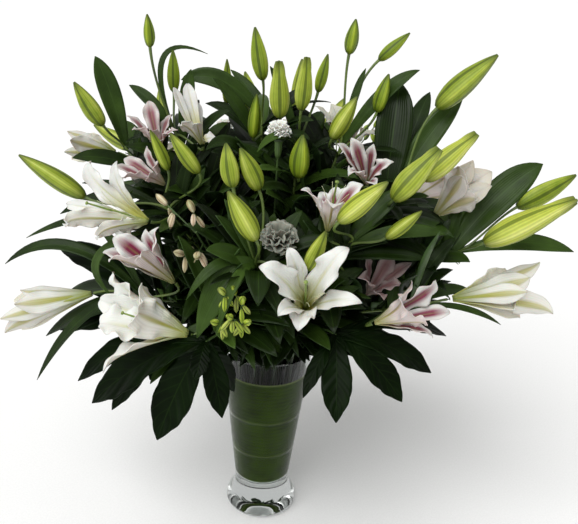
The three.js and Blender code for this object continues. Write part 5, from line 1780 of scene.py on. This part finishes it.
# Blooms
@dataclass
class LilyBloom:
    """One lily: six petals, and its stamens and pistil where it is open.

    A petal is drawn up along the axis by its rise, and out by its reach, before it curls back to its tip.
    """

    bloom: Bloom
    palette: Palette
    rng: random.Random
    thick: float = 0.8
    outer_share: float = 0.74
    rise: float = 0.42
    reach: float = 0.6
    groove: float = 0.09
    groove_half: float = 0.16
    ruffle: float = 0.32
    outer_ruffle: float = 0.18
    waves: Pair = (2.8, 4.2)
    wave_skew: float = 1.3
    twist: float = 0.16
    filament: float = 0.4
    filament_long: Pair = (0.78, 0.84)
    filament_spread: float = 0.9
    pistil: float = 1.6
    pistil_long: float = 0.94
    thread_bends: Pair = (0.4, 0.75)
    thread_bow: float = 0.35
    stigma: float = 2.7
    stigma_ends: Pair = (1.5, 2.4)
    petal_faces: tuple[int, int] = (14, 26)
    open_outline: Outline = ((0, 0.2), (0.22, 0.5), (0.54, 1), (0.82, 0.6), (0.94, 0.26), (1, 0.03))
    half_outline: Outline = (
        (0, 0.2), (0.36, 0.7), (0.55, 0.98), (0.69, 0.85), (0.83, 0.46), (0.94, 0.16), (1, 0.02),
    )
    stigma_outline: Outline = ((0, 0.25), (0.15, 0.8), (0.5, 1), (0.85, 0.8), (1, 0.25))
    petals: Work = field(default_factory=Work)
    threads: Work = field(default_factory=Work)

    @staticmethod
    def stance(bloom: Bloom, shift: float) -> tuple[Vector, Vector]:
        """The base and the axis of a bloom that is moved along the line of sight."""
        base = moved(bloom.base, shift)
        middle = sum((moved(tip, shift) for tip in bloom.tips), Vector()) / len(bloom.tips)
        return base, (middle - base).normalized()

    @classmethod
    def shift(cls, bloom: Bloom) -> float:
        """Finds how far the whole of a bloom was moved, by the apex of its throat.

        Args:
            bloom: The bloom.

        Returns:
            The shift along the line of sight.
        """

        def apex(shift: float) -> Vector:
            """Where the apex lies for a shift."""
            base, axis = cls.stance(bloom, shift)
            return base + axis * SIZES.gap

        return FRAME.shift(bloom.name, apex, reach=15)

    def petal(self, index: int, whole: float) -> None:
        """Makes one petal: those with an even index are the outer, narrower ones.

        Args:
            index: The petal's number round the bloom.
            whole: How far the whole bloom was moved.
        """
        bloom = self.bloom
        base, axis = self.stance(bloom, whole)
        inner = index % 2 == 1
        tip = bloom.tips[index]
        tip = moved(tip, whole + FRAME.shift(bloom.name, lambda s: moved(tip, whole + s), reach=10))
        base += axis * STEM.claw
        rel = tip - base
        height = rel.dot(axis)
        out = rel - axis * height
        span, away = rel.length, out.normalized()
        behind = 0 if inner else STEM.throat_layer
        line = Bend(
            base + away * STEM.throat_sunk,
            base + axis * (span * self.rise) + away * (bloom.bell + 2 * behind),
            base + axis * (height + span * bloom.curl - behind) + out * self.reach + away * behind,
            tip,
        )
        around, to_eye = axis.cross(away), (EYE.place - tip).normalized()
        wide = bloom.wide * bloom.full * (1 if inner else self.outer_share)
        outline = self.open_outline if bloom.stamens else self.half_outline
        phase, waves = self.rng.uniform(0, tau), self.rng.uniform(*self.waves)
        turned = self.rng.uniform(-self.twist, self.twist)
        ruffle = (self.ruffle if inner else self.outer_ruffle) * bloom.ruffle

        def side(along: Vector) -> Vector:
            """Round the bloom, turned some way flat to the eye."""
            flat = along.cross(to_eye).normalized()
            return around.lerp(flat if flat.dot(around) > 0 else -flat, bloom.flat)

        def section(s: float, t: float) -> Pair:
            """A cupped petal with a groove down its middle, a ruffled edge and a fold near its tip."""
            edge = abs(s)
            spread = sin(pi * min(max(t, 0), 1)) ** 0.7
            swing = sin(tau * waves * t + phase + self.wave_skew * copysign(1, s))
            groove = -self.groove * exp(-((s / self.groove_half) ** 2)) * spread
            wave = ruffle * edge**3 * swing * spread
            return s, bloom.cup * edge**1.7 + groove + wave + turned * s * t * t

        place = along_blade(line, side, lambda t: wide / 2 * smooth(outline, t), section)
        self.petals.add(straight_blade(*self.petal_faces), place, tone=bloom.tone)

    def stamens(self, whole: float) -> None:
        """Makes six filaments and the longer pistil, which ends in a round stigma.

        Args:
            whole: How far the whole bloom was moved.
        """
        bloom = self.bloom
        base, axis = self.stance(bloom, whole)
        length = (base - moved(bloom.tips[0], whole)).length
        stigma = base + axis * (length * self.pistil_long)
        threads = [
            (base + axis * (length * self.rng.uniform(*self.filament_long)) + way, way, self.filament, 0)
            for way in ring(Vector(), axis, bloom.stamens * self.filament_spread, 6)
        ]
        for end, way, radius, skin in [*threads, (stigma, Vector(), self.pistil, 1)]:
            span = (end - base).length
            low, high = (base + axis * (span * share) for share in self.thread_bends)
            line = Bend(base + axis * STEM.claw, low, high + way * self.thread_bow, end)
            place = along_rod(line.point, line.tangent, lambda t, radius=radius: radius * (1.15 - 0.4 * t))
            self.threads.add(straight_rod(6, 12), place, skin=skin)
        under, over = self.stigma_ends
        low, high = stigma - axis * under, stigma + axis * over
        along = (high - low).normalized()

        def radius_at(t: float) -> float:
            """How thick the stigma is, halved."""
            return self.stigma * smooth(self.stigma_outline, t)

        place = along_rod(lambda t: mix(low, high, t), lambda t: along, radius_at)
        self.threads.add(straight_rod(8, 6), place, skin=1)

    def build(self) -> None:
        """Makes the petals and what stands between them."""
        whole = self.shift(self.bloom)
        for index in range(len(self.bloom.tips)):
            self.petal(index, whole)
        if self.bloom.stamens:
            self.stamens(whole)

    def finish(self) -> None:
        """Dresses the pieces."""
        kind, name, palette = self.bloom.kind, self.bloom.name, self.palette
        slot = f"petal_{kind.value}"
        skins = [palette.faces[kind], palette.backs[kind]]
        self.petals.piece(f"{name}_petals", skins, name, slot, thick=self.thick)
        if self.bloom.stamens:
            self.threads.piece(f"{name}_stamens", [palette.filament, palette.pistil], name, slot)


# Broad leaves
@dataclass
class BroadLeaf(Standing):
    """One palmate leaf on its stalk."""

    palm: Palm
    thick: float = 0.8
    teeth: float = 7
    tooth: float = 0.09
    fold: float = 0.16
    swell: float = 0.07
    swells: float = 4.5
    face: float = 0.5
    arch: tuple[Pair, Pair] = ((0.3, 0.13), (0.72, 0.12))
    faces: tuple[int, int] = (12, 40)
    outline: Outline = (
        (0, 0.3), (0.12, 0.46), (0.3, 0.68), (0.5, 0.94), (0.65, 1), (0.8, 0.8), (0.92, 0.38), (1, 0.02),
    )

    def lobe(self, lobe: Lobe) -> None:
        """Makes one lobe, toothed towards its end.

        Args:
            lobe: Where it ends and how wide it is.
        """
        s = 0 if lobe.extra else FRAME.shift(self.palm.name, lambda shift: moved(lobe.tip, shift))
        hub, tip = self.stem.head, moved(lobe.tip, s)
        span = (tip - hub).length
        near, far = (mix(hub, tip, share) + UP * (span * lift) for share, lift in self.arch)
        up = EYE.facing(tip, self.face)
        phase = self.rng.uniform(0, tau)

        def half(t: float) -> float:
            """Half the width, with blunt teeth past the middle."""
            notch = 1 - abs(sin(pi * (self.teeth * t + phase / tau))) ** 0.6
            toothed = self.tooth * notch * min(1, max(0, t * 3 - 1.4))
            return lobe.wide / 2 * smooth(self.outline, t) * (1 - toothed)

        def section(s: float, t: float) -> Pair:
            """Folded a little along the midrib, and swollen between the side veins."""
            edge = abs(s)
            swell = self.swell * sin(tau * self.swells * (t - 0.2 * edge) + phase)
            return s, self.fold * edge**1.3 + swell * edge

        place = along_blade(Bend(hub, near, far, tip), up.cross, half, section)
        self.body.add(straight_blade(*self.faces), place)

    def build(self) -> None:
        """Makes the lobes."""
        for lobe in self.palm.lobes:
            self.lobe(lobe)

    def finish(self) -> None:
        """Dresses the blade, and makes and dresses its stalk."""
        name, palette = self.palm.name, self.palette
        skins = [palette.palm, palette.palm_under]
        self.body.piece(f"{name}_blade", skins, name, "palm_leaf", thick=self.thick)
        self.stand()
        self.stalks.piece(f"{name}_stalk", [palette.slim], name, "palm_leaf")


# Carnations
@dataclass
class CarnationFlower(Standing):
    """One carnation: layers of frilled petals in a calyx, on a slim stem."""

    flower: Carnation
    petals: int = 30
    widest: float = 1.7
    thick: float = 0.5
    frill: float = 0.16
    frills: float = 5.5
    fine_frill: float = 0.06
    fine_frills: float = 13
    cup: float = 0.18
    calyx_top: float = 0.72
    calyx_lobes: Pair = (5, 0.08)
    petal_long: Pair = (0.72, 0.98)
    petal_half: Pair = (0.48, 0.66)
    petal_outline: Outline = ((0, 0.12), (0.45, 0.35), (0.8, 0.95), (0.95, 1), (1, 0.82))
    calyx_outline: Outline = ((0, 0.42), (0.15, 0.75), (0.5, 0.95), (0.85, 1), (1, 1.12))

    def petal(self, index: int) -> None:
        """Makes one petal: the first stand upright in the middle, and the last lie back.

        Args:
            index: The petal's number, from the middle outwards.
        """
        centre, radius = self.flower.centre, self.flower.radius
        axis = outward(centre)
        polar = self.widest * sqrt((index + 0.5) / self.petals)
        first, second = basis(axis)
        turn = index * GOLDEN
        level = first * cos(turn) + second * sin(turn)
        way = axis * cos(polar) + level * sin(polar)
        start = centre - axis * (radius * 0.55)
        tip = centre + way * (radius * self.rng.uniform(*self.petal_long))
        line = Bend(start, mix(start, tip, 0.3) + axis * 3, mix(start, tip, 0.75) + axis * 3, tip)
        across = way.cross(axis) + axis * 0.02 + first * 0.01
        wide = radius * self.rng.uniform(*self.petal_half)
        phase = self.rng.uniform(0, tau)

        def half(t: float) -> float:
            """Half the petal's width."""
            return wide * smooth(self.petal_outline, t)

        def section(s: float, t: float) -> Pair:
            """A fan whose far edge is folded into a frill."""
            fine = sin(self.fine_frills * s + 2 * phase) * self.fine_frill
            frill = sin(self.frills * s + phase) * self.frill + fine
            return s, self.cup * s * s + frill * t * t

        place = along_blade(line, lambda along: across, half, section)
        self.body.add(straight_blade(12, 8), place, tone=self.flower.tone)

    def build(self) -> None:
        """Makes the petals."""
        for index in range(self.petals):
            self.petal(index)

    def finish(self) -> None:
        """Dresses the head, and makes and dresses the calyx and the stem."""
        flower, palette = self.flower, self.palette
        name, axis = flower.name, outward(flower.centre)
        self.body.piece(f"{name}_head", [palette.carnation], name, "carnation_white", thick=self.thick)
        bottom, top = flower.foot, flower.centre - axis * (flower.radius * self.calyx_top)
        self.stand()
        lobes, depth = self.calyx_lobes
        place = along_rod(
            lambda t: mix(bottom, top, t),
            lambda t: axis,
            lambda t: STEM.calyx_radius * smooth(self.calyx_outline, t),
            lambda angle, t: 1 + depth * cos(lobes * angle) * t**3,
        )
        self.stalks.add(straight_rod(20, 10), place)
        self.stalks.piece(f"{name}_stalk", [palette.slim], f"{name}_stem", "slim_green")


# Sprays
@dataclass
class BudSpray(Standing):
    """Small buds on thin branches."""

    spray: Spray
    low: float = 0.55
    rise: float = 0.43
    twig_radius: float = 1.0
    drift: float = 0.12
    droop: float = 0.9
    shown_wide: float = 0.85
    side_wide: float = 0.62
    side_low: Pair = (0.9, 1.9)
    side_long: Pair = (0.75, 1)
    seams: int = 3
    seam: float = 0.08
    outline: Outline = ((0, 0.3), (0.12, 0.7), (0.4, 0.96), (0.62, 1), (0.82, 0.74), (0.95, 0.36), (1, 0.16))

    def build(self) -> None:
        """Makes the branches and their buds, with smaller buds beside each that the picture shows."""
        spray, rng = self.spray, self.rng
        for index, tip in enumerate(spray.tips):
            share = self.low + self.rise * (index + 1) / len(spray.tips)
            s = FRAME.shift(spray.name, lambda shift, tip=tip: moved(tip, shift))
            end = moved(tip, s)
            root = self.stem.upper.point(share)
            axis = (end - root).normalized()
            self.twig(root, end - axis * spray.long, axis)
            self.bud(end - axis * spray.long, end, spray.wide * self.shown_wide)
            for side in ring(Vector(), axis, 1, 3)[: rng.randint(2, 3)]:
                low = end - axis * (spray.long * rng.uniform(*self.side_low))
                way = (side * 0.5 + axis * 0.2 - UP * self.droop).normalized()
                self.twig(low - axis * 6, low + way * 3, way)
                reach = 3 + spray.long * rng.uniform(*self.side_long)
                self.bud(low + way * 3, low + way * reach, spray.wide * self.side_wide)

    def twig(self, root: Vector, end: Vector, axis: Vector) -> None:
        """Makes one thin branch."""
        span = (end - root).length
        line = Bend(root, mix(root, end, 0.35), end - axis * (span * 0.3), end)
        self.stalks.add(straight_rod(6, 8), along_rod(line.point, line.tangent, lambda t: self.twig_radius))

    def bud(self, base: Vector, tip: Vector, wide: float) -> None:
        """Makes one small bud with shallow seams.

        Args:
            base: Where it is joined to its branch.
            tip: Its tip.
            wide: Its width.
        """
        axis = (tip - base).normalized()
        place = along_rod(
            lambda t: mix(base, tip, t),
            lambda t: axis,
            lambda t: wide / 2 * smooth(self.outline, t),
            lambda angle, t: 1 + self.seam * cos(self.seams * angle),
        )
        tone = self.spray.blush + self.rng.uniform(-self.drift, self.drift)
        self.body.add(straight_rod(16, 10), place, tone=tone)

    def finish(self) -> None:
        """Makes the stem, and dresses the pieces."""
        name, palette = self.spray.name, self.palette
        self.stand()
        self.body.piece(f"{name}_buds", [palette.sprig], name, "spray_green")
        self.stalks.piece(f"{name}_stalks", [palette.slim], name, "spray_green")


# Filler leaves
@dataclass
class Fillers:
    """The many leaves behind those that the picture picks out, which fill the heart of the bouquet.

    The heart is the bouquet's dense part as the picture shows it, corner by corner in pixels. Each leaf is
    tried several times round its stem, shorter each time, until it finds room.
    """

    shown: Sequence[Work]
    hidden: Sequence[Work]
    rng: random.Random
    heart: tuple[tuple[int, int], ...] = (
        (120, 150), (140, 118), (185, 96), (225, 84), (262, 84), (330, 88), (372, 92), (405, 88), (438, 120),
        (452, 170), (470, 225), (462, 268), (440, 315), (408, 345), (332, 372), (220, 372), (180, 338),
        (120, 325), (96, 280), (108, 215),
    )
    span: Pair = (0.02, 0.94)
    crowding: float = 1.2
    tries: int = 8
    try_turn: float = 0.9
    try_shorter: float = 0.09
    rim_room: float = 4
    faces: tuple[int, int] = (4, 10)
    sight: float = 200
    clear: float = 2
    probes: tuple[float, ...] = (0.25, 0.45, 0.65, 0.85, 1)
    rooted: float = 0.3
    rise: Pair = (0.2, 1)
    long: Pair = (80, 140)
    slender: Pair = (0.16, 0.25)
    bow: Pair = (0.04, 0.2)
    face: Pair = (0.1, 0.6)
    twist: Pair = (-0.3, 0.3)
    # filler leaves take low tones, painted shade in the heart; the next share lightens those higher up the
    # stem, for fresher leaves and painted light
    tone: Pair = (-0.25, 0.15)
    young_and_lit: float = 0.55

    def __post_init__(self) -> None:
        """Builds the search trees of what no filler leaf may hide, and of all that none may cross."""
        self.sights = self.tree(self.shown)
        self.solids = self.tree([*self.shown, *self.hidden])
        self.low, self.high = (corner / MM for corner in CAD_BOX)

    @staticmethod
    def tree(works: Sequence[Work]) -> BVHTree:
        """Builds one search tree of several pieces.

        Args:
            works: The pieces, in millimetres.

        Returns:
            The tree of all their faces.
        """
        places: list[Vector] = []
        faces: list[tuple[int, ...]] = []
        for work in works:
            work.bm.verts.index_update()
            faces += [tuple(vert.index + len(places) for vert in face.verts) for face in work.bm.faces]
            places += [vert.co.copy() for vert in work.bm.verts]
        return BVHTree.FromPolygons(places, faces)

    def in_room(self, place: Vector) -> bool:
        """Finds whether a filler leaf may reach a place.

        Args:
            place: The place.

        Returns:
            Whether it lies in the frame's box, in the heart and clear of the glass.
        """
        inside = all(low < c < high for low, c, high in zip(self.low, place, self.high))
        bore = SIZES.inside(min(place.z, SIZES.height)) - self.rim_room
        clear = place.z > SIZES.height + self.rim_room or place.xy.length < bore
        return inside and clear and self.in_heart(place)

    def in_heart(self, place: Vector) -> bool:
        """Finds whether a place is seen within the bouquet's heart.

        Args:
            place: The place.

        Returns:
            Whether a level line from it crosses the heart's outline an odd number of times.
        """
        x, y = EYE.pixel(place)
        inside = False
        for (x0, y0), (x1, y1) in zip(self.heart[-1:] + self.heart, self.heart):
            if (y0 > y) != (y1 > y) and x < (x1 - x0) * (y - y0) / (y1 - y0) + x0:
                inside = not inside
        return inside

    def is_free(self, form: LeafForm) -> bool:
        """Finds whether a leaf has room.

        Args:
            form: The leaf.

        Returns:
            Whether it stays behind what is shown, clear of it, and in the room that the bouquet leaves.
        """
        line = form.line()
        normal = EYE.facing(form.tip, form.face)
        for t in self.probes:
            middle = line.point(t)
            across = normal.cross(line.tangent(t)).normalized() * (form.wide * 0.45 if t < 0.9 else 0)
            for place in (middle - across, middle, middle + across):
                if not self.in_room(place):
                    return False
                sight = (place - EYE.place).normalized()
                if self.sights.ray_cast(place, sight, self.sight)[0] is not None:
                    return False
                if t > self.rooted and self.solids.find_nearest(place, self.clear)[0] is not None:
                    return False
        return True

    def fill(self, stem: Stem, leaves: Work) -> int:
        """Grows filler leaves in a spiral up one stem.

        Args:
            stem: The stem.
            leaves: The piece that they are added to.

        Returns:
            How many were grown.
        """
        grown, rng = 0, self.rng
        lowest, stretch = self.span
        turn = rng.uniform(0, tau)
        for index in range(stem.fillers):
            start = lowest + stretch * ((index + 0.5) / stem.fillers) ** self.crowding
            root, along = stem.upper.point(start), stem.upper.tangent(start)
            first, second = basis(along)
            turn += GOLDEN
            for attempt in range(self.tries):
                angle = turn + attempt * self.try_turn
                level = first * cos(angle) + second * sin(angle)
                way = (level + along * rng.uniform(*self.rise)).normalized()
                length = rng.uniform(*self.long) * (1 - self.try_shorter * attempt)
                wide = length * rng.uniform(*self.slender)
                bow, face, twist = (rng.uniform(*share) for share in (self.bow, self.face, self.twist))
                form = LeafForm(root, root + way * length, wide, bow, face, twist, rng.uniform(0, tau))
                if self.is_free(form):
                    # painted shade, lightened higher up the stem for fresher leaves and painted light
                    tone = rng.uniform(*self.tone) + rng.random() ** 2 * self.young_and_lit * start
                    leaves.add(straight_blade(*self.faces), form.place(), tone=tone)
                    grown += 1
                    break
        return grown


# The studio
@dataclass
class Studio:
    """Pale floor, soft light and the camera."""

    palette: Palette
    radius: float = 2000
    below: float = 0.2
    sky: float = 0.5
    sun: float = 2.5
    softness: float = 55
    way: tuple[float, float, float] = (-0.55, -0.75, 1.1)

    def floor(self) -> None:
        """Lays a round sheet of white paper just under the vase."""
        bm = bmesh.new()
        bmesh.ops.create_circle(bm, cap_ends=True, segments=96, radius=self.radius)
        bmesh.ops.translate(bm, vec=(0, 0, -self.below * MM), verts=bm.verts)
        mesh = bpy.data.meshes.new("floor")
        bm.to_mesh(mesh)
        bm.free()
        mesh.materials.append(self.palette.floor)
        floor = linked("floor", mesh)

    def light(self) -> None:
        """Surrounds everything with even light, and adds a large soft window at the upper left."""
        world = bpy.data.worlds.new("studio")
        world.use_nodes = True
        bpy.context.scene.world = world
        background = world.node_tree.nodes["Background"]
        background.inputs["Color"].default_value = srgb(0xFFFFFF)
        background.inputs["Strength"].default_value = self.sky
        data = bpy.data.lights.new("window", "SUN")
        data.energy = self.sun
        data.angle = radians(self.softness)
        turned = Vector(self.way).to_track_quat("Z", "Y").to_matrix()
        linked("window", data).matrix_world = turned.to_4x4()

    def build(self) -> None:
        """Sets up the studio."""
        scene = bpy.context.scene
        scene.view_settings.view_transform = "Standard"
        scene.view_settings.look = "None"
        self.floor()
        self.light()
        EYE.camera()


@dataclass
class Bouquet:
    """Every stem and what it carries."""

    palette: Palette
    slim: dict[str, Stem] = field(default_factory=dict)

    def stand(self) -> None:
        """Stands the stems in the vase."""
        slim = [Stem(palm.name, palm.hub, slim=True, arch=0.2) for palm in PALMS]
        slim += [Stem(flower.name, flower.foot, slim=True) for flower in CARNATIONS]
        slim += [Stem(spray.name, spray.head, slim=True) for spray in SPRAYS]
        deal([*LILY_STEMS, *slim])
        self.slim = {stem.name: stem for stem in slim}

    def grown(self, kind: type[Standing], shown: Sequence[Palm | Carnation | Spray]) -> list[Standing]:
        """Sets things on their slim stems, each with a source of chance of its own."""
        return [kind(self.slim[it.name], self.palette, random.Random(it.name), it) for it in shown]

    def build(self) -> None:
        """Makes every flower and leaf."""
        self.stand()
        blooms = [LilyBloom(bloom, self.palette, random.Random(bloom.name)) for bloom in BLOOMS]
        stems = [LilyStem(stem, self.palette, random.Random(stem.name)) for stem in LILY_STEMS]
        slim = [*self.grown(BroadLeaf, PALMS), *self.grown(CarnationFlower, CARNATIONS)]
        slim += self.grown(BudSpray, SPRAYS)
        parts = [*blooms, *slim, *stems]
        for part in parts:
            part.build()
        works = [(part.bloom.name, part.petals) for part in blooms]
        works += [(part.stem.name, part.body) for part in [*stems, *slim]]
        shown = [work for name, work in works if "back" not in name]
        hidden = [work for name, work in works if "back" in name]
        fillers = Fillers(shown, hidden, random.Random("fillers"))
        for stem in stems:
            LOG.info("%s: %d filler leaves", stem.stem.name, fillers.fill(stem.stem, stem.leaves))
        for part in parts:
            part.finish()


def main() -> None:
    """Builds the vase, the bouquet and the studio."""
    logging.basicConfig(level=logging.INFO, format="%(message)s")
    palette = Palette()
    Vase(SIZES, palette).build()
    Bouquet(palette).build()
    Studio(palette).build()
    for mesh in [mesh for mesh in bpy.data.meshes if mesh.name.startswith(STRAIGHT)]:
        bpy.data.meshes.remove(mesh)


if __name__ == "__main__":
    main()
